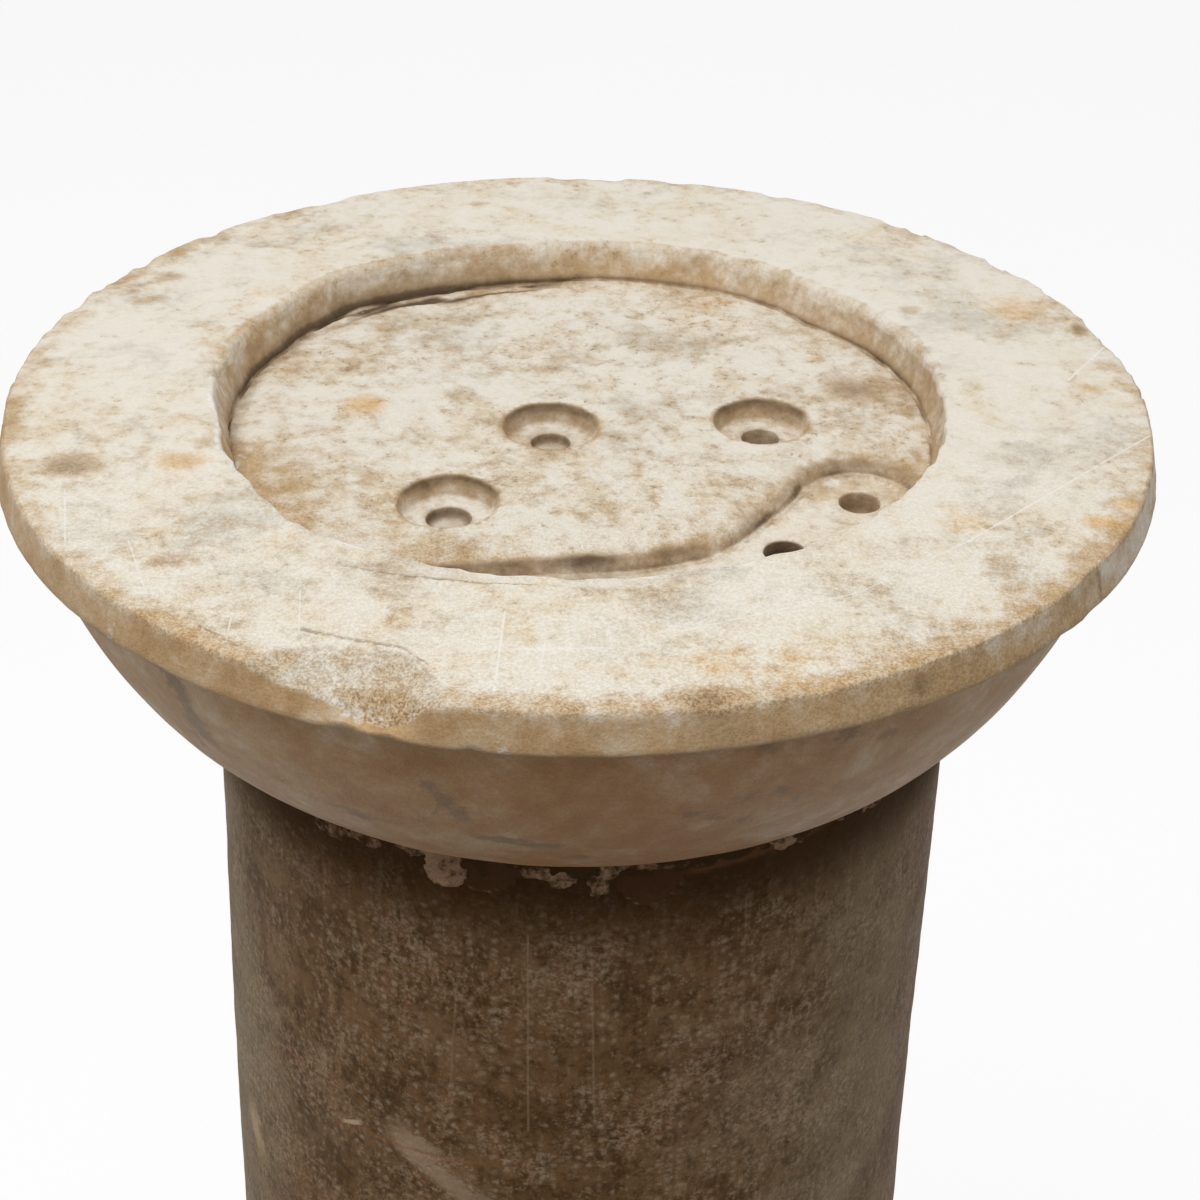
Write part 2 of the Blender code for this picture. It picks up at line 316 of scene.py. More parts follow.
def floorHeight(x, y):
    p = flat(x, y)
    radius = np.hypot(x, y)
    azimuth = azimuthOf(x, y)
    reach = channelReach(x, y)
    lowered = ramp(reach, 0, sunkBed["shoulder"])
    pecked = 0.45 * layers(p, 34, 54, 2) + 0.26 * layers(p, 5.5, 56, 3, 0.6)
    fall = 1.3 * ramp(reach, -11, 0.5)  # the shoulder is worn round
    h = -sunkBed["depth"] + (pecked - fall) * (1 - lowered)
    smooth = 0.10 * layers(p, 22, 59, 2)
    h = h + lowered * (-sunkBed["channelDepth"] + smooth)
    h -= 0.3 * bell(reach - sunkBed["shoulder"] - 1.6, 0.6)  # a second line along the shoulder
    inSeat = seat["radius"] - 0.4 - np.hypot(x - seat["at"][0], y - seat["at"][1])
    h -= seat["depth"] * ramp(inSeat, 0, 0.9)
    groove = grooveAt(x, y)
    strokes = 0.6 * chiselledAt(azimuth, radius) * nearTo(azimuth, 122, 26)
    h -= groove * (sunkBed["grooveDepth"] + strokes)
    h -= 1.5 * creviceAt(x, y)
    lip = bell(footInward(x, y) - 10, 6) * ramp(-np.abs(turnBetween(azimuth, 160)), -50, -20)
    return h + 0.3 * lip


def capitalRows(azimuth):
    # Rows of (radius, height) round the axis: up from the foot of the wall, out, down, in to the underside.
    c, s = cosSin(azimuth)
    rows, zones = [], []

    def add(radius, height, zone):
        rows.append((radius * np.ones_like(c), height * np.ones_like(c)))
        zones.append(zone)

    rim = rimRadiusAt(azimuth)
    foot = wallRadiusAt(azimuth) - sunkBed["footInset"]
    for inward in sunkBed["footRows"]:
        radius = foot - inward
        add(radius, floorHeight(radius * c, radius * s), "foot")
    footHeight = rows[-1][1]
    worn = 0.75 + 0.9 * np.abs(cellNoise(ringAt(50, azimuth), 3.5, 62)) + 0.55 * farSide(azimuth)
    easing = sunkBed["rimEasing"] * worn * (0.55 + 0.45 * farSide(azimuth))
    lip = rim + easing
    lipHeight = topHeight(lip * c, lip * s)
    wallTop = lipHeight - easing
    for k in range(1, sunkBed["wallRows"]):
        t = k / sunkBed["wallRows"]
        height = footHeight + (wallTop - footHeight) * t
        cove = sunkBed["wallCove"] * (1 - t) ** 3
        rough = 0.6 * layers(ringAt(rim, azimuth, height), 9, 63, 3, 0.65) * math.sin(math.pi * t) ** 0.5
        add(foot + (rim - foot) * t - cove + rough, height, "wall")
    for step in (0, 25, 50, 72):
        angle = math.radians(step)
        add(rim + easing * (1 - math.cos(angle)), lipHeight - easing * (1 - math.sin(angle)), "rim")
    add(lip, lipHeight, "rim")

    loss = edgeLossAt(azimuth)
    crisp = farSide(azimuth)
    edgeTop = capital["edgeRadius"] - capital["batter"] * (1 - 0.7 * crisp) - loss * (1 - 0.4 * crisp)
    easing = capital["topEasing"] * (1 - 0.5 * crisp)
    shoulder = edgeTop - easing * (0.75 + 0.5 * np.abs(cellNoise(ringAt(90, azimuth), 9, 64)))
    for k in range(1, capital["topRows"] + 1):
        t = k / capital["topRows"]
        radius = lip + (shoulder - lip) * t
        add(radius, topHeight(radius * c, radius * s), "top")
    shoulderHeight = topHeight(shoulder * c, shoulder * s)
    broken = ramp(-shoulderHeight, 1.2, 3.5)
    drop = (edgeTop - shoulder) * (1 - 0.6 * broken)
    for step in (20, 40, 58, 75):
        angle = math.radians(step)
        radius = shoulder + (edgeTop - shoulder) * math.sin(angle)
        base = np.minimum(shoulderHeight, topHeight(radius * c, radius * s))
        crumbly = 0.28 * layers(ringAt(radius, azimuth, base), 4.5, 36, 2) * math.sin(2 * angle)
        add(radius + crumbly, base - drop * (1 - math.cos(angle)) + np.minimum(crumbly, 0), "arris")

    chip = wornBy(azimuth, capital["lowerChips"])
    lower = capital["lowerEasing"] + chip + 0.35 * np.abs(cellNoise(ringAt(95, azimuth), 4, 65))
    edgeLow = capital["edgeRadius"] - 0.6 * loss
    widest = capital["edgeRadius"] - 0.05
    stepIn = edgeTop - rows[-1][0]
    faceTop = rows[-1][1]
    faceEnd = -capital["thickness"] + lower
    for k in range(1, capital["faceRows"] + 1):
        t = k / capital["faceRows"]
        height = faceTop + (faceEnd - faceTop) * t
        worn = 0.3 * (layers(ringAt(190, azimuth, height), 18, 66, 4, 0.65) - 0.2)
        radius = edgeTop + (edgeLow - edgeTop) * t - stepIn * (1 - t) + worn * t ** 0.5
        add(np.minimum(radius, widest), height, "edge")
    for step in (30, 60, 90):
        angle = math.radians(step)
        radius = np.minimum(edgeLow - lower * (1 - math.cos(angle)), widest)
        add(radius, faceEnd - lower * math.sin(angle), "edge")
    reach = capital["echinusTop"]
    under = -capital["thickness"]
    for t in (0.4, 0.85):
        add(edgeLow - lower + (reach - edgeLow + lower) * t, under, "soffit")
    swell = wornBy(azimuth, capital["swell"])
    leaner = wornBy(azimuth, capital["leaner"])
    for inset, down in ((0.5, 0.2), (0.7, 0.9)):
        add(reach - inset + swell + leaner, under - down, "quirk")

    span = reach - capital["echinusFoot"]
    power = 2 / capital["fullness"]
    curve = [(capital["echinusFoot"] + span * math.cos(a) ** power,
              under - capital["quirk"] - capital["echinusHeight"] * math.sin(a) ** power)
             for a in np.linspace(0, math.pi / 2, 400)]
    curve = np.array(curve)
    length = np.concatenate([[0], np.cumsum(np.hypot(*np.diff(curve, axis=0).T))])
    closeStops = np.linspace(length[-1] - 13, length[-1], 12)
    stops = np.concatenate([np.arange(0, length[-1] - 14, 2.6), closeStops])
    for stop in stops:
        radius = np.interp(stop, length, curve[:, 0])
        height = np.interp(stop, length, curve[:, 1])
        ring = ringAt(radius, azimuth, height)
        line = 0.45 * bell(length[-1] - stop - 9.0, 0.9)  # a fine turned line above the foot
        t = stop / length[-1]
        dent = 0.42 * layers(ring, 42, 67, 3) * min(1.0, (length[-1] - stop) / 8)
        add(radius + dent - line + swell * (1 - 0.6 * t ** 4) + leaner * (1 - t) ** 1.5, height, "echinus")
    bottom = under - capital["quirk"] - capital["echinusHeight"]
    for share in (0.93, 0.6, 0.25):
        add(capital["echinusFoot"] * share, bottom, "underside")
    return rows, zones, bottom


def mouthOf(hole):
    return sinkRadius if hole["sink"] else hole["bore"]


def holeRows(hole):
    turn = np.linspace(0, 2 * np.pi, holeColumns, endpoint=False)
    c, s = np.cos(turn), np.sin(turn)
    x0, y0 = hole["at"]
    wobble = 1 + 0.018 * cellNoise(flat(30 * c + x0, 30 * s + y0), 14, 71)
    rows = []

    def add(radius, height):
        rows.append((x0 + radius * wobble * c, y0 + radius * wobble * s, height * np.ones_like(c)))

    mouth = mouthOf(hole)
    brink = mouth + brinkWidth
    surface = floorHeight(x0 + brink * wobble * c, y0 + brink * wobble * s)
    add(brink, surface)
    level = -sunkBed["depth"] - hole["sink"] if hole["sink"] else np.mean(surface)
    if hole["sink"]:
        add(mouth + 0.15, surface - 0.25)
        add(mouth, surface - 0.9)
        inner = mouth - sinkBatter
        for t in (0.25, 0.5, 0.75):
            add(mouth - sinkBatter * t, surface - 1.1 + (level + 1.6 - surface) * t)
        add(inner, level + 0.7)
        add(inner - 0.9, level + 0.1)
        for t in (0.3, 0.65):
            add(inner - 0.9 + (hole["bore"] + 1.0 - inner) * t, level - 0.25 * t)
    add(hole["bore"] + 0.25, level - 0.12)
    add(hole["bore"], level - 0.6)
    end = level - hole["deep"]
    for t in (0.25, 0.5, 0.75):
        add(hole["bore"] * (1 - 0.03 * t), level - 0.9 + (end + 1.5 - level) * t)
    add(hole["bore"] * 0.93, end + 0.4)
    rubble = 0.9 * layers(flat(x0 + 40 * c, y0 + 40 * s), 9, 72, 2)
    add(hole["bore"] * 0.6, end + 0.1 + 0.4 * rubble)
    add(hole["bore"] * 0.25, end + 0.5 + 0.3 * rubble)
    return rows


def rowFaces(rows, first, inward=False):
    # Faces between rows of the same length, closed round the axis.
    count = len(rows[0][0])
    faces = []
    for i in range(len(rows) - 1):
        a = first + i * count + np.arange(count)
        b = a + count
        nextA = np.roll(a, -1)
        nextB = nextA + count
        faces.append(np.column_stack([a, nextA, nextB, b] if inward else [a, b, nextB, nextA]))
    return np.concatenate(faces)


def fan(ring, middle, upward=True):
    # Triangles from a closed row to the point in its middle.
    nextOnes, centre = np.roll(ring, -1), np.full_like(ring, middle)
    return np.column_stack([ring, nextOnes, centre] if upward else [ring, centre, nextOnes])


def closedRows(rows, top, bottom):
    # Points and faces of a body turned from rows, with a fan at each end.
    columns = len(rows[0][0])
    count = columns * len(rows)
    verts = [np.column_stack(row) for row in rows] + [np.array([[0, 0, top]]), np.array([[0, 0, bottom]])]
    firstRow = np.arange(columns)
    lastRow = firstRow + count - columns
    groups = [rowFaces(rows, 0), fan(firstRow, count), fan(lastRow, count + 1, upward=False)]
    return np.concatenate(verts), groups


def hexPoints(radius, step, seed):
    rng = np.random.default_rng(seed)
    ys = np.arange(-radius, radius, step * math.sqrt(0.75))
    points = []
    for row, y in enumerate(ys):
        xs = np.arange(-radius, radius, step) + (row % 2) * step / 2
        points.append(flat(xs, np.full_like(xs, y))[:, :2])
    points = np.concatenate(points)
    return points + rng.uniform(-0.22, 0.22, points.shape) * step


def floorMesh(boundary, brinks):
    # The floor of the sunk bed: a loose net of points, closer at the shoulder of the channel and the seat.
    turn = np.arange(-180.0, 180.0, 0.5)
    limit = wallRadiusAt(turn) - sunkBed["footInset"] - sunkBed["footRows"][0]

    def clear(points, margin):
        x, y = points[:, 0], points[:, 1]
        wall = np.interp(azimuthOf(x, y), turn, limit, period=360)
        keep = np.hypot(x, y) < wall - margin
        for name, brink in brinks.items():
            x0, y0 = holes[name]["at"]
            keep &= np.hypot(x - x0, y - y0) > brink + margin
        return keep

    coarse = hexPoints(115, 1.6, 5)
    coarse = coarse[clear(coarse, 0.9)]
    fine = hexPoints(115, 0.85, 6)
    fine = fine[clear(fine, 0.6)]

    def detail(points):
        x, y = points[:, 0], points[:, 1]
        reach = channelReach(x, y)
        return (reach > -3.5) & (reach < sunkBed["shoulder"] + 1.2)

    points = np.concatenate([coarse[~detail(coarse)], fine[detail(fine)]])
    loops = [boundary] + [np.column_stack(holeRows(holes[name])[0][:2]) for name in brinks]
    edges, start = [], 0
    for loop in loops:
        n = len(loop)
        edges += [(start + i, start + (i + 1) % n) for i in range(n)]
        start += n
    flatPoints = np.concatenate(loops + [points])
    result = delaunay_2d_cdt([Vector(p) for p in flatPoints.tolist()], edges, [], 0, 1e-6)
    verts = np.array([v[:] for v in result[0]])
    triangles = np.array([f for f in result[2] if len(f) == 3])
    middle = verts[triangles].mean(axis=1)
    return verts, triangles[clear(middle, 0.0) & insideLoop(middle, boundary)]


def insideLoop(points, loop):
    azimuth = azimuthOf(points[:, 0], points[:, 1])
    loopAzimuth = azimuthOf(loop[:, 0], loop[:, 1])
    order = np.argsort(loopAzimuth)
    radius = np.interp(azimuth, loopAzimuth[order], np.hypot(*loop.T)[order], period=360)
    return np.hypot(points[:, 0], points[:, 1]) < radius


def weldedMesh(name, verts, faceGroups, values):
    # One mesh from rows and nets whose shared borders have the same points.
    keys = np.round(verts / 1e-4).astype(np.int64)
    _, firstOf, sameAs = np.unique(keys, axis=0, return_index=True, return_inverse=True)
    sameAs = sameAs.ravel()
    faces = []
    for group in faceGroups:
        for face in sameAs[group].tolist():
            corners = [v for i, v in enumerate(face) if v != face[i - 1]]
            if len(corners) > 2:
                faces.append(corners)
    mesh = bpy.data.meshes.new(name)
    placed = verts[firstOf] * mm + np.array([0, 0, rimHeight])
    mesh.from_pydata(placed.tolist(), [], faces)
    for key, value in values.items():
        layer = mesh.attributes.new(key, "FLOAT", "POINT")
        layer.data.foreach_set("value", value[firstOf].astype(np.float32))
    mesh.validate()
    mesh.shade_smooth()
    piece = bpy.data.objects.new(name, mesh)
    bpy.context.scene.collection.objects.link(piece)
    return piece


# Stains and marks on the top: x and y, half sizes, strength. A bruise is a white, crushed place.
stains = {
    "spot": [(-158, -60, 11.5, 8.5, 0.85), (-152, 84, 7.5, 6, 0.6), (-153, 65, 5.5, 4.6, 0.55),
             (-125, -56, 9, 6, 0.42), (-123, -88, 6, 4, 0.42), (-120, -115, 13, 5, 0.45),
             (-104, -95, 8, 6, 0.42), (-114, -43, 8, 8, 0.45), (-96, 133, 7, 9, 0.5),
             (170, 60, 14, 16, 0.4), (124, -110, 8, 5, 0.5), (102, -153, 7, 6, 0.5),
             (107, -143, 8, 5, 0.45), (91, -105, 14, 9, 0.36), (-168, 25, 6, 5, 0.35),
             (-97, 132, 5, 7, 0.5), (-41, 160, 4, 5, 0.45), (-28, 182, 3.5, 4, 0.5),
             (-120, -117, 7, 4.5, 0.55), (-75, -130, 4, 9, 0.4), (35, -183, 11, 6, 0.9),
             (-47, -181, 8, 5, 0.5), (0, -187, 3, 2.6, 0.6), (100, -143, 5, 3.5, 0.45),
             (-120, -44, 4, 7, 0.5), (135, 60, 4.5, 4, 0.4), (98, 26, 15, 12, 0.85), (88, 19, 3, 3, 0.6),
             (114, 8, 3.5, 5, 0.7), (112, -18, 3, 4, 0.6), (-88, 60, 6, 3, 0.35), (-47, 88, 5, 10, 0.35),
             (160, 98, 5, 6, 0.3), (178, 50, 3, 5.5, 1.0), (182, 22, 5, 6, 0.5), (120, 64, 6, 5, 0.5),
             (150, 44, 5, 5, 0.5), (122, -62, 7, 4, 0.4), (148, -108, 5, 4, 0.6),
             (126, -136, 6, 3.5, 0.55), (160, -92, 6, 4, 0.45), (-70, 165, 7, 3, 0.3),
             (60, 176, 6, 3, 0.25)],
    "ochre": [(-74, 11, 9, 8, 1.0), (-125, -56, 10.5, 6.5, 0.95), (-128, 28, 9, 26, 0.5),
              (-117, 74, 9, 14, 0.45), (159, -87, 8, 5, 0.95), (168, -76, 6, 5, 0.85),
              (172, 2, 9, 8, 0.6), (116, -86, 9, 5, 0.7), (-100, 15, 20, 14, 0.35), (57, 80, 22, 14, 0.4),
              (52, 100, 26, 8, 0.4), (-150, 5, 9, 6, 0.3), (172, 12, 10, 12, 0.35), (85, 52, 16, 16, 0.3),
              (-30, -150, 40, 12, 0.35), (50, -163, 34, 10, 0.35), (118, -120, 16, 10, 0.3),
              (-90, -100, 10, 6, 0.35), (15, 45, 20, 14, 0.2), (10, -170, 26, 6, 0.45),
              (60, -172, 20, 7, 0.45), (160, 66, 18, 16, 0.7), (116, -92, 10, 6, 0.55),
              (-160, 60, 10, 26, 0.35), (2, -168, 6, 4, 0.5), (36, -168, 8, 5, 0.5)],
    "grey": [(-60, 112, 22, 12, 0.5), (-150, -100, 26, 16, 0.6), (-110, -90, 30, 14, 0.6),
             (-85, -125, 24, 12, 0.5), (150, -40, 20, 30, 0.5), (140, 60, 26, 30, 0.6),
             (20, 60, 36, 26, 0.35), (-45, 70, 18, 20, 0.6), (40, -110, 26, 10, 0.35),
             (130, 110, 20, 20, 0.5), (-20, 165, 40, 10, 0.35), (-150, 120, 20, 20, 0.4),
             (112, 120, 9, 2.5, 0.8), (170, -12, 14, 20, 0.5), (15, 10, 30, 20, 0.3)],
    "bruise": [(-67, -104.5, 9, 1.3, 0.8), (-88, -86, 7, 1.5, 0.6), (-115, -42, 2, 9, 0.6),
               (-48, -166, 8, 8, 0.4), (-41, -176, 5, 6, 0.5), (-120, -12, 3.5, 8, 0.9),
               (-114, -32, 4, 7, 0.8), (-11, -177, 6, 2.2, 0.5), (3, -183, 5, 2.2, 0.7),
               (-20, -190, 3, 3, 0.5), (-58, -180, 9, 2.5, 0.6), (177, 26, 7, 2.5, 0.7),
               (-84, 92, 8, 4, 0.5), (-30, -121.5, 20, 1.8, 0.6), (12, -121, 16, 1.6, 0.8),
               (46, -114, 10, 1.6, 0.6), (-62, -107, 9, 2, 0.6), (-8, -160, 20, 2.5, 0.8),
               (100, -150, 6, 2, 0.5), (-130, -138, 8, 4, 0.4)],
}


def stainAt(kind, x, y):
    total = np.zeros_like(x)
    for cx, cy, sx, sy, strength in stains[kind]:
        far = ((x - cx) / sx) ** 2 + ((y - cy) / sy) ** 2
        total = np.maximum(total, strength * np.exp(-0.8 * far))
    return total


# Veins, freckles and stains on the cushion and the edge: azimuth, height, half sizes in mm, strength.
sideStains = {
    "grey": [(-130.3, -24, 3, 6, 0.9), (-129.2, -33, 3, 7, 1.0), (-129.0, -45, 4, 8, 0.8),
             (-131, -53, 3, 6, 0.6), (-103.2, -37, 2.5, 4, 0.8), (-102, -43, 2.5, 4, 0.75),
             (-100.7, -49, 3, 4, 0.6), (-97.5, -62, 6, 1.6, 1.0), (-93.5, -64.5, 7, 1.5, 1.0),
             (-79, -49, 2.2, 1.8, 0.9), (-76.5, -52, 2.4, 1.8, 0.8), (-74.4, -45, 2.8, 2, 0.7),
             (-70.5, -44, 2.5, 2, 0.8), (-68.5, -50, 2, 1.7, 0.7), (-73.0, -56, 3, 1.6, 0.6),
             (-72.8, -23, 4, 2.4, 0.7), (-65, -26, 5, 3, 0.7), (-60, -31, 3, 2, 0.6),
             (-112, -62, 5, 2, 0.6), (-89, -73, 7, 1.8, 0.5), (-20, -35, 8, 3, 0.6), (40, -40, 3, 9, 0.7),
             (88, -30, 9, 3, 0.6), (140, -50, 4, 8, 0.7), (175, -40, 3, 9, 0.6)],
    "spot": [(-116.8, -48, 6, 5, 0.65), (-119.3, -30, 4, 5, 0.5), (-88.5, -33, 6, 4, 0.4),
             (-52, -19, 9, 3, 0.9), (-45, -22, 9, 4, 0.9), (-58, -22, 6, 2.5, 0.6),
             (-105, -22, 7, 3, 0.4), (-141, -30, 5, 6, 0.5), (10, -30, 7, 6, 0.5), (70, -45, 8, 6, 0.5),
             (120, -25, 9, 4, 0.6), (160, -60, 6, 6, 0.5), (-60.5, -7, 3.5, 4.5, 0.95),
             (-36, -6, 1.0, 6, 1.0), (-37.5, -4, 3.5, 5, 0.5), (-127.5, -13, 4.5, 1.6, 1.0),
             (-127, -5, 3, 2, 0.5), (-118, -9, 7, 1.2, 0.6), (-88.5, -6, 2.2, 2.6, 0.7),
             (-135, -12.5, 9, 1.4, 0.8), (-54, -5, 3, 3, 0.4), (-70, -13, 9, 1.2, 0.6),
             (-100, -13, 12, 1.0, 0.5), (-143, -7, 4, 4, 0.5), (-48, -12.6, 8, 1.2, 0.6),
             (40, -6, 6, 4, 0.5), (95, -8, 5, 4, 0.5)],
}


def sideStainAt(kind, azimuth, z):
    total = np.zeros_like(z)
    for at, height, wide, tall, strength in sideStains[kind]:
        far = (arcBetween(azimuth, at, 170) / wide) ** 2 + ((z - height) / tall) ** 2
        total = np.maximum(total, strength * np.exp(-0.6 * far))
    return total


def floorPaint(verts):
    # Dirt and painted shade, tan and roughness of the sunk bed's floor, with the channel, the seat and the
    # groove in it.
    x, y, _ = verts.T
    radius = np.hypot(x, y)
    azimuth = azimuthOf(x, y)
    reach = channelReach(x, y)
    past = reach - sunkBed["shoulder"]
    fromSeat = np.hypot(x - seat["at"][0], y - seat["at"][1])
    patchy = 0.75 + 0.5 * cellNoise(verts, 15, 74)
    # painted shadow lines at the foot of the channel's shoulder and along the second line inside it
    lines = np.maximum(1.05 * bell(past + 0.4, 1.25), 0.60 * bell(past - 1.9, 0.8))
    lines = lines * (0.75 + 0.35 * cellNoise(verts, 9, 75))
    slope = (0.76 - 0.26 * ramp(-fromSeat, -44, -15)) * bell(reach - 0.6, 3.3) * patchy
    narrow = ramp(-azimuth, 60, 88) * ramp(azimuth, -136, -112)  # where the channel is narrow, painted darker
    held = 0.56 * narrow * patchy * ramp(reach, 1, 3)
    streaky = np.exp(-(turnBetween(azimuth, 118) / 26) ** 4)
    chiselled = 0.44 + streaky * (0.26 + 1.2 * chiselledAt(azimuth, radius)) + 0.12 * cellNoise(verts, 3, 78)
    # the crevice at the wall's foot is painted dark as painted shade
    dirtAndShade = np.max([lines, slope, held, grooveAt(x, y) * chiselled, 0.85 * creviceAt(x, y)], axis=0)
    toWall = np.maximum(footInward(x, y), 0)
    inSeat = ramp(seat["radius"] + 3 - fromSeat, 0, 3)
    nearRim = ramp(radius, 70, 92) * ramp(-azimuth, 40, 70) * ramp(azimuth, -178, -160)
    tan = (0.39 + 0.26 * np.exp(-toWall / 9) + 0.02 * ramp(reach, 1, 4) + 0.04 * inSeat
           + 0.34 * nearRim * np.exp(-toWall / 26) + 0.22 * bell(reach + 1.0, 3.5))
    return {"dirtAndShade": dirtAndShade, "tan": tan, "rough": 0.75 * (1 - ramp(reach, 0, 3))}


def wallPaint(azimuth, z):
    share = ramp(z, -15.5, -2.0)
    low = 0.62 * (1 - ramp(z, -14.6, -10.5)) * farSide(azimuth)
    streaks = 0.52 * nearTo(azimuth, 140, 48) * (1 - 0.8 * share) + 0.24 * nearTo(azimuth, 14, 40)
    return {"dirtAndShade": 0.14 + low + streaks, "tan": 0.92 - 0.30 * share, "rough": 0.12}


def topPaint(azimuth, radius):
    tan = (0.15 + 0.34 * ramp(radius, 178, 188) + 0.3 * ramp(-radius, -130, -123) * farSide(azimuth)
           + 0.12 * nearTo(azimuth, -160, 50) + 0.2 * ramp(radius, 158, 182) * nearTo(azimuth, -45, 38))
    frontBand = ramp(radius, 169, 187) * nearTo(azimuth, -88, 55)
    return {"tan": tan + 0.26 * frontBand, "rough": 0.45 * frontBand}


def rightEdge(azimuth):
    return nearTo(azimuth, -18, 26)


def edgePaint(verts, azimuth):
    down = -verts[:, 2]
    lowerLine = ramp(down, 11.2, 13.4) * (0.30 + 0.40 * cellNoise(verts, 14, 77))
    tan = 0.86 + 0.24 * ramp(down, 1, 10) - 0.50 * rightEdge(azimuth)
    return {"dirtAndShade": np.clip(lowerLine, 0, 1), "tan": tan}


def paintHole(paint, zone, hole, x, y):
    # Each hole is darkened down its bore, on its sink wall, at its back brow and in its inner corner:
    # painted shade, partly grime.
    away = np.hypot(x - hole["at"][0], y - hole["at"][1])
    mouth = mouthOf(hole)
    sunk = hole["sink"] > 0
    back = ramp(y - hole["at"][1], -2, 10)
    wall = ramp(away, mouth - sinkBatter - 1.2, mouth - 0.6) * sunk
    inBore = ramp(-away, -hole["bore"] - 0.5, -hole["bore"] + 0.2)
    rubble = ramp(-away, -0.95 * hole["bore"], -0.62 * hole["bore"])
    brow = bell(away - mouth + 0.1, 0.6) * back
    corner = bell(away - mouth + sinkBatter + 0.4, 0.8) * back * sunk
    grimeAndShade = hole["grimeAndShade"] * inBore * (1 - 0.62 * rubble)
    dirtAndShade = 0.13 + 0.24 * wall * (0.3 + back) + 0.35 * brow + 0.25 * corner + grimeAndShade
    inside = (zone == "hole") & (away < mouth + 2)
    paint["dirtAndShade"][inside] = np.clip(dirtAndShade, 0, 1)[inside]
    paint["tan"][inside] = (0.50 + 0.3 * wall - 0.3 * rubble * inBore)[inside]
    paint["rough"][inside] = 0.35
    lip = (zone == "floor") & (away < mouth + 3)
    shadow = 0.4 * back * bell(away - mouth - 0.4, 1.1)
    paint["dirtAndShade"][lip] = np.maximum(paint["dirtAndShade"], shadow)[lip]


def capitalValues(verts, zone):
    # Values from 0 to 1 that the marble's shader reads.
    x, y, z = verts.T
    radius = np.hypot(x, y)
    azimuth = azimuthOf(x, y)
    floor = floorPaint(verts)
    looks = {
        "floor": floor,
        "foot": floor,
        "wall": wallPaint(azimuth, z),
        "rim": {"tan": 0.10 + 0.50 * farSide(azimuth), "rough": 0.7},
        "top": topPaint(azimuth, radius),
        "arris": {"tan": 0.78, "rough": 0.35},
        "edge": edgePaint(verts, azimuth),
        # the soffit, the quirk and the top of the cushion just under the slab are darkened as painted shade
        "soffit": {"tan": 0.95, "dirtAndShade": 0.5},
        "quirk": {"tan": 1.0, "dirtAndShade": 1.0},
        "echinus": {"tan": 1.02, "dirtAndShade": 0.50 * ramp(z, -25, -18)},
        "underside": {"tan": 0.9},
    }
    paint = {name: np.zeros_like(x) for name in ("dirtAndShade", "tan", "rough")}
    for place, look in looks.items():
        for name, value in look.items():
            paint[name][zone == place] = (value + 0 * x)[zone == place]
    for hole in holes.values():
        paintHole(paint, zone, hole, x, y)

    upper = np.isin(zone, ("top", "floor", "rim", "arris", "foot", "edge"))
    onTop = np.isin(zone, ("top", "arris"))
    onSide = np.isin(zone, ("echinus", "edge"))
    broken = ramp(-dish(x, y, **bigBreak[0]), 0, 0.5) * onTop
    granular = ramp(-dish(x, y, **bigBreak[1]), 0.5, 3.0) * onTop
    cushionShade = 0.45 + 0.36 * nearTo(azimuth, -86, 40) + 0.28 * ramp(-z, 58, 90)
    edgeShade = 0.29 + 0.06 * nearTo(azimuth, -98, 26) - 0.14 * nearTo(azimuth, -58, 14)
    edgeShade = edgeShade - 0.20 * rightEdge(azimuth)
    values = {
        "dirtAndShade": paint["dirtAndShade"],
        "tan": paint["tan"] + (0.55 + 0.08 * granular - paint["tan"]) * broken,
        "rough": np.maximum(paint["rough"], np.maximum(0.6 * broken, granular)),
        "spot": stainAt("spot", x, y) * upper + 0.06 * granular + sideStainAt("spot", azimuth, z) * onSide,
        "ochre": stainAt("ochre", x, y) * upper,
        "grey": stainAt("grey", x, y) * upper + 0.95 * broken,
        "vein": sideStainAt("grey", azimuth, z) * onSide,
        "bruise": stainAt("bruise", x, y) * upper + 0.42 * (1 - farSide(azimuth)) * (zone == "rim"),
        "shade": (cushionShade * (zone == "echinus") + edgeShade * (zone == "edge") * ramp(-z, 0, 3)
                  + 0.6 * (zone == "soffit")),
    }
    return {name: np.clip(value, 0, 1) for name, value in values.items()}


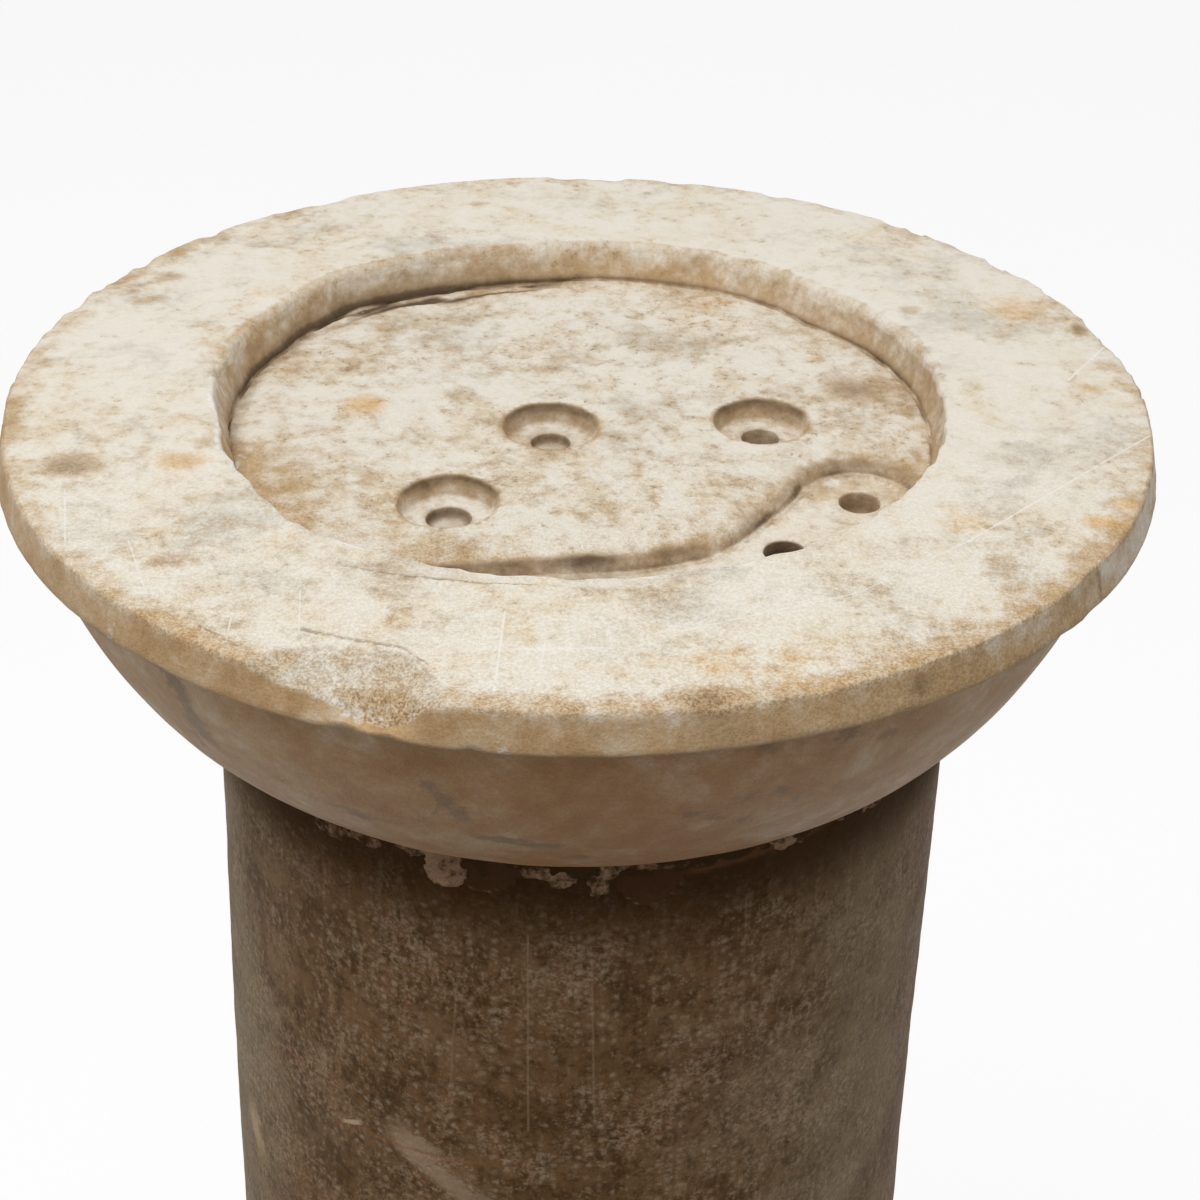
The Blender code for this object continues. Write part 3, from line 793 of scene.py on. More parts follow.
def makeCapital():
    azimuth = np.linspace(-180, 180, capital["columns"], endpoint=False)
    c, s = cosSin(azimuth)
    profile, rowZones, bottom = capitalRows(azimuth)
    rows = [(radius * c, radius * s, height) for radius, height in profile]
    verts = [np.column_stack(row) for row in rows] + [np.array([[0, 0, bottom]])]
    zones = [name for name in rowZones for _ in azimuth] + ["underside"]
    count = len(azimuth) * len(rows)
    lastRow = count - len(azimuth) + np.arange(len(azimuth))
    groups = [rowFaces(rows, 0), fan(lastRow, count, upward=False)]
    count += 1

    brinks = {}
    for name, hole in holes.items():
        bore = holeRows(hole)
        brinks[name] = mouthOf(hole) + brinkWidth
        verts += [np.column_stack(row) for row in bore]
        verts.append(np.array([[*hole["at"], bore[-1][2].mean() + 0.2]]))
        zones += ["hole"] * (holeColumns * len(bore) + 1)
        groups.append(rowFaces(bore, count, inward=True))
        count += holeColumns * len(bore)
        groups.append(fan(count - holeColumns + np.arange(holeColumns), count))
        count += 1

    net, triangles = floorMesh(np.column_stack(rows[0][:2]), brinks)
    verts.append(np.column_stack([net, floorHeight(net[:, 0], net[:, 1])]))
    zones += ["floor"] * len(net)
    groups.append(triangles + count)
    verts = np.concatenate(verts)
    piece = weldedMesh("marbleCapital", verts, groups, capitalValues(verts, np.array(zones)))
    print("capital:", len(piece.data.vertices), "points,", len(piece.data.polygons), "faces")
    return piece


# The dark shaft

shaft = {
    "columns": 340,
    "topRadius": 131.1,
    "footRadius": 155.0,
    "topEasing": 2.0,
    "bandHeight": 24.0,
    "bandProjection": 9.0,
    "coveHeight": 30.0,
    "footEasing": 2.0,
    "fineDepth": 215.0,
    "lean": 2.3,
    "leanFrom": -340.0,
    "leanTo": -110.0,
}

# Shell-shaped breaks at the top arris: azimuth, half width and height in mm, depth into the stone.
shaftBreaks = [(-103.7, 14.5, 15.5, 4.0), (-80.5, 13.0, 18.5, 3.6), (-126.0, 6.5, 7.0, 1.8),
               (-52.0, 9.0, 7.0, 1.6), (-20.0, 12.0, 9.0, 2.4), (35.0, 9.0, 8.0, 2.0),
               (88.0, 15.0, 12.0, 3.0), (150.0, 8.0, 9.0, 2.2), (-160.0, 10.0, 6.0, 1.6)]


def leanAt(height):  # the capital sits a little to the left of the shaft's top
    return shaft["lean"] * ramp(height, shaft["leanFrom"], shaft["leanTo"])


def shaftBreakAt(azimuth, down):
    cut = np.zeros_like(azimuth)
    for at, half, tall, depth in shaftBreaks:
        u = arcBetween(azimuth, at, shaft["topRadius"]) / half
        v = down / tall
        away = np.hypot(u, v)
        cut = np.maximum(cut, depth * np.clip(1 - away ** 2, 0, 1) ** 0.6)
    return cut


def shaftRows(azimuth):
    c, s = cosSin(azimuth)
    rows = []
    top, foot = shaft["topRadius"], shaft["footRadius"]
    bandTop = ground + shaft["bandHeight"]
    coveTop = bandTop + shaft["coveHeight"]
    footOuter = foot + shaft["bandProjection"]

    def addPlain(radius, height):
        rows.append((radius * c, radius * s, np.full_like(c, height)))

    def add(radius, height):
        level = np.full_like(c, height)
        ring = ringAt(radius, azimuth, height)
        worn = 0.20 * (layers(ring, 30, 81, 3) - 0.1) + 0.10 * cellNoise(ring, 4.5, 84)
        cut = shaftBreakAt(azimuth, shaftTop - level)
        cut = cut + 0.35 * layers(ring, 6, 85, 2) * (cut > 0.4)
        rows.append(((radius + worn - cut) * c + leanAt(level), (radius + worn - cut) * s, level))

    easing = shaft["topEasing"]
    for share in (0.3, 0.65, 0.9):
        addPlain(top * share, shaftTop)
    for step in (0, 30, 60, 90):
        angle = math.radians(step)
        add(top - easing * (1 - math.sin(angle)), shaftTop - easing * (1 - math.cos(angle)))
    heights = np.concatenate([np.arange(shaftTop - easing - 1.0, shaftTop - 24, -1.0),
                              np.arange(shaftTop - 24, shaftTop - shaft["fineDepth"], -1.9),
                              np.linspace(shaftTop - shaft["fineDepth"], coveTop, 110)])
    for height in heights:
        add(top + (foot - top) * ((shaftTop - height) / (shaftTop - coveTop)), height)
    for step in np.linspace(0, 90, 9)[1:]:
        angle = math.radians(step)
        radius = footOuter - shaft["bandProjection"] * math.cos(angle)
        add(radius, coveTop - shaft["coveHeight"] * math.sin(angle))
    easing = shaft["footEasing"]
    for height in np.linspace(bandTop - 1.0, ground + easing, 7):
        add(footOuter - 0.2, height)
    for step in (30, 60, 90):
        angle = math.radians(step)
        add(footOuter - easing * (1 - math.cos(angle)) - 0.2, ground + easing * (1 - math.sin(angle)))
    for share in (0.9, 0.5):
        addPlain(footOuter * share, ground)
    return rows


def makeShaft():
    rows = shaftRows(np.linspace(-180, 180, shaft["columns"], endpoint=False))
    verts, groups = closedRows(rows, shaftTop, ground)
    x, y, z = verts.T
    down = shaftTop - z
    azimuth = azimuthOf(x - leanAt(z), y)
    cut = shaftBreakAt(azimuth, down)
    # olive patches on the shaft's left and right sides: lichen, and a painted sheen where the sides are
    # lighter
    lichenAndSheen = 0.9 * nearTo(azimuth, -162, 24) + 0.78 * nearTo(azimuth, -42, 28)
    values = {
        "broken": ramp(cut, 0.0, 0.6),
        # a painted highlight along the brinks of the breaks
        "brink": bell(cut - 0.5, 0.45) * (cut > 0.02) * ramp(down, 4, 12),
        # a darker band under the capital: dirt, and painted shade under the capital's overhang
        "dirtAndShade": 0.85 * bell(down, 34) + 0.2 * np.exp(-down / 80),
        "foot": ramp(-z, -ground - 90, -ground),
        "lichenAndSheen": lichenAndSheen * (0.25 + 0.75 * ramp(-down, -480, -230)),
    }
    piece = weldedMesh("darkShaft", verts, groups, values)
    print("shaft:", len(piece.data.vertices), "points")
    return piece


# The mortar bed, and the crust of it that was squeezed out onto the shaft

mortar = {
    "columns": 640,
    "radius": 131.6,
    "gap": 0.3,
    "crustDepth": 17.0,
    "hidden": 0.8,  # where there is no crust, its skin lies this far inside the shaft
    "crumbs": 70,
}

# Places of the crust: azimuth, depth under the joint, half width, half height, thickness, paleness
crusts = [(-136.0, 2.0, 9.0, 5.0, 1.6, 0.15), (-127.5, 9.5, 7.0, 3.4, 1.3, 0.6),
          (-130.0, 3.0, 8.0, 4.0, 1.7, 0.1), (-121.5, 6.5, 5.5, 3.2, 1.5, 0.55),
          (-121.0, 2.0, 8.0, 3.5, 1.7, 0.2), (-114.5, 2.5, 6.0, 4.0, 2.0, 0.75),
          (-109.6, 6.5, 5.4, 8.5, 3.4, 1.0), (-107.8, 12.0, 4.0, 3.4, 2.8, 0.85),
          (-99.5, 1.5, 7.0, 3.0, 1.6, 0.25), (-96.0, 4.0, 5.0, 3.4, 1.7, 0.7),
          (-92.6, 7.0, 4.4, 3.6, 1.5, 0.75), (-90.0, 2.0, 7.0, 4.0, 1.6, 0.2),
          (-87.6, 9.0, 4.0, 5.0, 1.7, 0.65), (-86.0, 3.0, 5.0, 4.0, 2.0, 0.8),
          (-78.0, 0.8, 8.0, 2.4, 1.4, 0.1), (-70.0, 1.5, 9.0, 3.0, 1.4, 0.1),
          (-61.0, 4.6, 5.0, 2.6, 2.1, 0.85), (-57.0, 3.0, 6.0, 2.6, 1.6, 0.4),
          (-50.0, 2.0, 8.0, 3.0, 1.6, 0.2), (-44.0, 5.6, 6.4, 3.2, 2.2, 0.85),
          (-40.0, 3.2, 5.0, 3.0, 1.7, 0.5), (-33.0, 3.0, 7.0, 3.0, 1.5, 0.2),
          (-152.0, 3.0, 8.0, 3.4, 1.6, 0.3), (-166.0, 2.0, 6.0, 3.0, 1.6, 0.6),
          (-15.0, 4.0, 8.0, 4.0, 1.7, 0.6), (8.0, 2.0, 9.0, 3.0, 1.4, 0.2),
          (30.0, 4.0, 7.0, 4.0, 1.8, 0.6), (58.0, 3.0, 8.0, 3.6, 1.6, 0.4),
          (84.0, 5.0, 7.0, 4.0, 1.8, 0.7), (106.0, 3.0, 9.0, 3.4, 1.6, 0.3),
          (132.0, 5.0, 6.0, 4.0, 1.8, 0.6), (160.0, 3.0, 9.0, 3.4, 1.6, 0.3)]

crumbs = np.random.default_rng(95)
for _ in range(mortar["crumbs"]):
    crusts.append((crumbs.uniform(-180, 180), crumbs.uniform(0.3, 5.5), crumbs.uniform(1.8, 5.0),
                   crumbs.uniform(0.9, 2.4), crumbs.uniform(1.0, 1.7), crumbs.uniform(0.0, 0.8)))


def crustAt(azimuth, below):
    # Thickness of the crust over the shaft (negative where there is none) and its paleness.
    arc = np.radians(azimuth) * shaft["topRadius"]
    p = np.column_stack([arc, below, np.zeros_like(arc)])
    ragged = 0.55 * layers(p, 5.5, 92, 3, 0.7)
    thick = np.full_like(azimuth, -mortar["hidden"])
    pale = np.full_like(azimuth, 0.1)
    for at, depth, half, tall, height, paleness in crusts:
        u = arcBetween(azimuth, at, shaft["topRadius"]) / half
        v = (below - depth) / tall
        rise = 0.8 * height * (1.1 - u ** 2 - v ** 2) + ragged * height
        rise = np.minimum(rise, 0.5 * height + 0.35 * ragged * height)
        pale = np.where(rise > thick, paleness, pale)
        thick = np.maximum(thick, rise)
    return thick, pale


def makeMortar():
    azimuth = np.linspace(-180, 180, mortar["columns"], endpoint=False)
    c, s = cosSin(azimuth)
    low = shaftTop + mortar["gap"]
    high = (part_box("bed_mortar")[1][2] - rimHeight) / mm
    rows, pales = [], []

    def add(radius, height, pale=0.1):
        level = np.full_like(c, height)
        rows.append((radius * c + leanAt(level), radius * s, level))
        pales.append(pale * np.ones_like(c))

    for share in (0.4, 0.8):
        add(mortar["radius"] * share, high)
    for t in np.linspace(0, 1, 6):
        height = high + (low - high) * t
        crust, pale = crustAt(azimuth, np.full_like(azimuth, max(0.0, shaftTop - height)))
        rough = 0.45 * layers(ringAt(131, azimuth, height), 7, 91, 3)
        squeezed = 0.4 * np.clip(crust, 0, 2)
        add(mortar["radius"] + rough + squeezed, height, np.maximum(pale, 0.34 * nearTo(azimuth, -48, 26)))
    for below in np.arange(0.3, mortar["crustDepth"], 0.62):
        level = np.full_like(azimuth, below)
        crust, pale = crustAt(azimuth, level)
        ending = ramp(below, mortar["crustDepth"] - 1.5, mortar["crustDepth"])
        inBreak = 0.7 * shaftBreakAt(azimuth, level)
        radius = shaft["topRadius"] + 0.02 * below - inBreak + crust - 1.2 * ending
        add(radius, shaftTop - below, pale)
    bottom = shaftTop - mortar["crustDepth"]
    for inset, height in ((4.5, bottom), (6.0, bottom), (6.0, low - 0.1)):
        add(shaft["topRadius"] - inset, height)
    for share in (0.8, 0.4):
        add(shaft["topRadius"] * share, low)
    verts, groups = closedRows(rows, high, low)
    pales.append(np.array([0.1, 0.1]))
    piece = weldedMesh("mortarBed", verts, groups, {"pale": np.concatenate(pales)})
    print("mortar:", len(piece.data.vertices), "points")
    return piece


# Materials

class Wire:  # a socket that can be used in an expression
    def __init__(self, sheet, socket):
        self.sheet = sheet
        self.socket = socket

    def __add__(self, other):
        return self.sheet.maths("ADD", self, other)

    def __radd__(self, other):
        return self.sheet.maths("ADD", other, self)

    def __sub__(self, other):
        return self.sheet.maths("SUBTRACT", self, other)

    def __rsub__(self, other):
        return self.sheet.maths("SUBTRACT", other, self)

    def __mul__(self, other):
        return self.sheet.maths("MULTIPLY", self, other)

    def __rmul__(self, other):
        return self.sheet.maths("MULTIPLY", other, self)

    def __truediv__(self, other):
        return self.sheet.maths("DIVIDE", self, other)

    def __rtruediv__(self, other):
        return self.sheet.maths("DIVIDE", other, self)


class Sheet:  # the nodes of one material, or of the sky
    def __init__(self, owner):
        owner.use_nodes = True
        self.owner = owner
        self.tree = owner.node_tree
        self.shader = self.tree.nodes.get("Principled BSDF")

    def node(self, kind, settings=None, sockets=None, out=0):
        made = self.tree.nodes.new(kind)
        for key, value in (settings or {}).items():
            setattr(made, key, value)
        for key, value in (sockets or {}).items():
            self.plug(made.inputs[key], value)
        return Wire(self, made.outputs[out])

    def plug(self, socket, value):
        if isinstance(value, Wire):
            self.tree.links.new(value.socket, socket)
        elif socket.type == "RGBA":
            socket.default_value = (*value, 1.0)
        else:
            socket.default_value = value

    def maths(self, operation, *values):
        return self.node("ShaderNodeMath", {"operation": operation}, dict(enumerate(values)))

    def strongest(self, masks):
        best = masks[0]
        for mask in masks[1:]:
            best = self.maths("MAXIMUM", best, mask)
        return best

    def clamped(self, value):
        return self.node("ShaderNodeClamp", {}, {"Value": value})

    def between(self, value, low, high):  # 0 below low, 1 above high, smooth in between
        return self.node("ShaderNodeMapRange", {"interpolation_type": "SMOOTHSTEP"},
                         {"Value": value, "From Min": low, "From Max": high})

    def mix(self, factor, first, second, blend="MIX"):
        return self.node("ShaderNodeMix", {"data_type": "RGBA", "blend_type": blend},
                         {0: factor, 6: first, 7: second}, out=2)

    def noise(self, at, size, detail, rough, distort=0.0):  # size in mm
        return self.node("ShaderNodeTexNoise", {}, {"Vector": at, "Scale": 1000.0 / size, "Detail": detail,
                                                    "Roughness": rough, "Distortion": distort})

    def painted(self, name):
        return self.node("ShaderNodeAttribute", {"attribute_name": name}, out="Fac")

    def places(self):
        return self.node("ShaderNodeTexCoord", out="Object")

    def axes(self, at):
        return [self.node("ShaderNodeSeparateXYZ", {}, {0: at}, out=k) for k in range(3)]

    def vector(self, operation, first, second):
        return self.node("ShaderNodeVectorMath", {"operation": operation}, {0: first, 1: second})

    def finish(self, colour, roughness, specular, height=None, relief=0.001, strength=1.0):
        self.plug(self.shader.inputs["Base Color"], colour)
        self.plug(self.shader.inputs["Roughness"], roughness)
        self.plug(self.shader.inputs["Specular IOR Level"], specular)
        if height is not None:
            raised = {"Height": height, "Distance": relief, "Strength": strength}
            self.plug(self.shader.inputs["Normal"], self.node("ShaderNodeBump", {}, raised, "Normal"))
        return self.owner


marble = {
    "white": (0.825, 0.772, 0.67),
    "cream": (0.755, 0.635, 0.455),
    "grey": (0.60, 0.56, 0.475),
    "tan": (0.52, 0.33, 0.145),
    "shaded": (0.292, 0.124, 0.032),
    "ochre": (0.72, 0.43, 0.15),
    "brown": (0.24, 0.145, 0.07),
    "spot": (0.50, 0.345, 0.19),
    "soilAndShade": (0.37, 0.255, 0.145),
    "dirtAndShade": (0.085, 0.052, 0.026),
    "speck": (0.37, 0.29, 0.20),
    "bruise": (0.93, 0.91, 0.86),
    "vein": (0.135, 0.092, 0.058),
    "darkGrain": (0.10, 0.08, 0.06),
    "paleGrain": (0.90, 0.88, 0.84),
    # fine scratches on the top: from and to in mm, width, strength
    "scratches": [((185.7, -30.7), (116.7, -99.0), 0.5, 0.75), ((116.7, -99.0), (80.7, -128.8), 0.4, 0.6),
                  ((80.7, -128.8), (17.4, -155.0), 0.4, 0.6), ((-20.2, -141.6), (-21.7, -179.8), 0.45, 0.8),
                  ((-26.3, -160.4), (9.7, -159.1), 0.6, 0.3), ((-78.6, -131.4), (-76.4, -153.0), 0.35, 0.7),
                  ((-96.2, -143.3), (-95.8, -157.4), 0.35, 0.7),
                  ((-156.9, -75.8), (-150.0, -108.3), 0.35, 0.7),
                  ((-132.2, -105.0), (-122.3, -132.4), 0.35, 0.6),
                  ((-8.7, -155.5), (-9.5, -169.2), 0.35, 0.6),
                  ((166.4, 8.6), (186.2, 38.3), 0.6, 0.7)],
    # dark hair cracks: from and to in mm, width
    "cracks": [((-76.0, -151.0), (-61.0, -156.5), 1.3), ((-61.0, -156.0), (-47.0, -160.0), 1.1),
               ((-47.0, -160.0), (-38.0, -170.0), 0.7),
               ((-67.0, -118.0), (-52.0, -122.0), 0.55), ((-52.0, -122.0), (-28.0, -126.0), 0.7),
               ((-28.0, -126.0), (-6.0, -127.0), 0.5), ((-104.0, -150.0), (-92.0, -160.0), 0.7)],
}


def lineMask(sheet, x, y, start, end, width, ragged=0.0):
    # 1 along a straight line between two points, in mm
    (x0, y0), (x1, y1) = start, end
    length = math.hypot(x1 - x0, y1 - y0)
    ux, uy = (x1 - x0) / length, (y1 - y0) / length
    along = (x - x0) * ux + (y - y0) * uy
    aside = sheet.maths("ABSOLUTE", (y - y0) * ux - (x - x0) * uy)
    started = sheet.between(along, -width - 1.0, width)
    inside = started * (1 - sheet.between(along, length - width, length + width + 1.0))
    return (1 - sheet.between(aside + ragged, width * 0.4, width)) * inside


def marbleMaterial():
    sheet = Sheet(bpy.data.materials.new("weatheredMarble"))
    at = sheet.places()
    shifted = sheet.vector("ADD", at, (0.31, 0.17, 0.53))
    names = ("tan", "dirtAndShade", "rough", "spot", "ochre", "grey", "vein", "bruise", "shade")
    paint = {name: sheet.painted(name) for name in names}

    broad = sheet.noise(at, 80, 3, 0.55)
    clouds = sheet.noise(at, 26, 5, 0.6, 0.5)
    drift = sheet.noise(shifted, 34, 5, 0.62, 0.8)
    mottle = sheet.noise(at, 7.5, 6, 0.66)
    fine = sheet.noise(shifted, 3.2, 5, 0.64)
    grain = sheet.noise(at, 1.3, 3, 0.6)
    unevenly = (mottle - 0.5) * 0.7 + (fine - 0.5) * 0.35
    x, y = (axis * 1000 for axis in sheet.axes(at)[:2])

    warm = sheet.between(drift * 0.7 + mottle * 0.45, 0.50, 0.74)
    colour = sheet.mix(warm * 0.75, marble["white"], marble["cream"])
    grey = sheet.between(clouds + paint["grey"] * 0.28 + unevenly * 0.7, 0.47, 0.82)
    colour = sheet.mix(grey * 0.80, colour, marble["grey"])
    tone = (clouds - 0.5) * 1.1 + (drift - 0.5) * 0.9 + (mottle - 0.5) * 0.5
    calm = 1 - 0.8 * paint["shade"]
    patina = sheet.between(paint["tan"] + tone * 0.78 + unevenly * calm, 0.22, 1.08)
    colour = sheet.mix(patina * 0.9, colour, marble["tan"])
    iron = sheet.between(drift + (broad - 0.5) * 0.8 + (fine - 0.5) * 0.3, 0.56, 0.82)
    ochre = sheet.between(paint["ochre"] + iron * 0.35 + unevenly, 0.26, 0.95)
    colour = sheet.mix(ochre * 0.66, colour, marble["ochre"])
    shaded = sheet.between(paint["shade"] + tone * 1.15, 0.15, 1.15)
    colour = sheet.mix(shaded * 0.86, colour, marble["shaded"])
    spotted = paint["spot"] + unevenly * 0.9
    colour = sheet.mix(sheet.between(spotted, 0.16, 0.62) * 0.66, colour, marble["spot"])
    colour = sheet.mix(sheet.between(spotted, 0.46, 1.05) * 0.66, colour, marble["brown"])

    # grey veins and freckles of the cushion, and a few hair veins
    vein = sheet.between(paint["vein"] + unevenly * 2.2, 0.18, 0.72)
    vein = vein * sheet.between(paint["vein"], 0.02, 0.2)
    veinField = sheet.noise(at, 75, 3, 0.5, 0.8)
    hair = 1 - sheet.between(sheet.maths("ABSOLUTE", veinField - 0.5), 0.0, 0.03)
    hair = hair * sheet.between(clouds, 0.50, 0.66) * paint["shade"] * 0.35
    colour = sheet.mix(sheet.maths("MAXIMUM", vein * 0.62, hair), colour, marble["vein"])

    # mottling of the tooled surfaces, and specks of dirt held in pits
    blotch = sheet.between(fine * 0.75 + mottle * 0.25 + (drift - 0.5) * 0.5, 0.48, 0.74)
    blotch = blotch * (0.40 + 0.60 * paint["rough"]) * calm
    colour = sheet.mix(blotch * 0.44, colour, marble["speck"])
    clustered = sheet.between(mottle + (drift - 0.5) * 0.7 + paint["rough"] * 0.12, 0.49, 0.66)
    speck = sheet.between(grain * 0.55 + fine * 0.5, 0.57, 0.68) * clustered
    colour = sheet.mix(speck * (0.48 + 0.2 * paint["rough"]), colour, marble["brown"])
    front = sheet.between(y * -1.0, -40, 185)  # the sugary grain is freshest at the broken front
    sugar = sheet.noise(shifted, 0.75, 2, 0.6)
    crystals = sheet.between(grain * 0.5 + sugar * 0.5, 0.36, 0.64)
    lit = 1 - sheet.between(paint["shade"], 0.0, 0.4) * 0.75
    grit = 0.12 + front * (0.50 + paint["rough"] * 0.36) * lit
    sugary = sheet.mix(crystals, marble["darkGrain"], marble["paleGrain"])
    colour = sheet.mix(grit, colour, sugary, "SOFT_LIGHT")

    # darkening from dirt and painted shade: the bores, the crevice, the shoulder lines, the soffit and the
    # cushion under the slab
    held = paint["dirtAndShade"] + unevenly * 0.75
    colour = sheet.mix(sheet.between(held, 0.06, 0.62) * 0.80, colour, marble["soilAndShade"])
    colour = sheet.mix(sheet.between(held, 0.42, 1.0) * 0.88, colour, marble["dirtAndShade"])
    bruise = sheet.between(paint["bruise"] + (fine - 0.5) * 2.4 + (mottle - 0.5) * 1.6, 0.45, 1.0)
    colour = sheet.mix(bruise * sheet.between(paint["bruise"], 0.04, 0.3) * 0.7, colour, marble["bruise"])

    ragged = fine - 0.5
    scratches = [lineMask(sheet, x, y, start, end, width, ragged * width) * strength
                 for start, end, width, strength in marble["scratches"]]
    bentX, bentY = x + (mottle - 0.5) * 5.0, y + ragged * 4.0
    cracks = [lineMask(sheet, bentX, bentY, start, end, width, ragged * width)
              for start, end, width in marble["cracks"]]
    crack = sheet.strongest(cracks) * sheet.between(fine, 0.36, 0.56)
    colour = sheet.mix(crack * 0.62, colour, marble["brown"])
    broken = sheet.between(mottle, 0.30, 0.56) * (1 - sheet.between(paint["shade"], 0.02, 0.3))
    colour = sheet.mix(sheet.strongest(scratches) * broken * 0.8, colour, marble["bruise"])

    roughness = sheet.clamped(0.64 + 0.25 * paint["rough"] + (grain - 0.5) * 0.3 - 0.12 * paint["shade"])
    pecked = (fine - 0.5) * 0.5 + (mottle - 0.5) * 0.3 + (grain - 0.5) * 0.25
    relief = (pecked + (sugar - 0.5) * 0.25 * front) * (0.34 + 0.80 * paint["rough"]) - speck * 0.1
    return sheet.finish(colour, roughness, 0.35, relief, 0.0022, 0.8)


darkStone = {
    "base": (0.250, 0.140, 0.064),
    "umber": (0.100, 0.054, 0.020),
    "ash": (0.30, 0.207, 0.122),
    "speck": (0.51, 0.385, 0.265),
    "olive": (0.35, 0.284, 0.183),
    "rust": (0.20, 0.070, 0.028),
    "dirtAndShade": (0.037, 0.0135, 0.001),
    "blush": (0.095, 0.045, 0.022),  # inside the broken places
    "darkGrain": (0.16, 0.15, 0.14),
    "paleGrain": (0.87, 0.85, 0.83),
    # marks on the round face: from and to (mm round from the front, height), width, strength, colour
    "marks": [((-66.0, -229.0), (-54.0, -236.0), 8.5, 0.72, (0.50, 0.36, 0.23)),
              ((-55.0, -236.0), (-38.0, -249.0), 7.5, 0.60, (0.46, 0.33, 0.22)),
              ((-40.0, -248.0), (-16.0, -262.0), 6.0, 0.45, (0.42, 0.31, 0.21)),
              ((-159.0, -282.0), (-149.0, -298.0), 9.0, 0.75, (0.60, 0.45, 0.27)),
              ((40.0, -104.0), (96.0, -101.5), 3.4, 0.55, (0.17, 0.078, 0.032)),
              ((-89.8, -236.9), (-82.3, -233.5), 1.3, 0.8, (0.66, 0.50, 0.33)),
              ((-82.0, -236.0), (-25.0, -232.0), 0.9, 0.35, (0.34, 0.12, 0.04)),
              ((-15.3, -129.0), (-15.1, -214.0), 0.5, 0.30, (0.44, 0.33, 0.22)),
              ((6.5, -138.5), (8.2, -209.0), 0.6, 0.26, (0.44, 0.33, 0.22)),
              ((-41.0, -156.0), (-43.0, -197.0), 0.6, 0.20, (0.44, 0.33, 0.22)),
              ((60.0, -120.0), (62.0, -190.0), 0.5, 0.12, (0.44, 0.33, 0.22))],
}


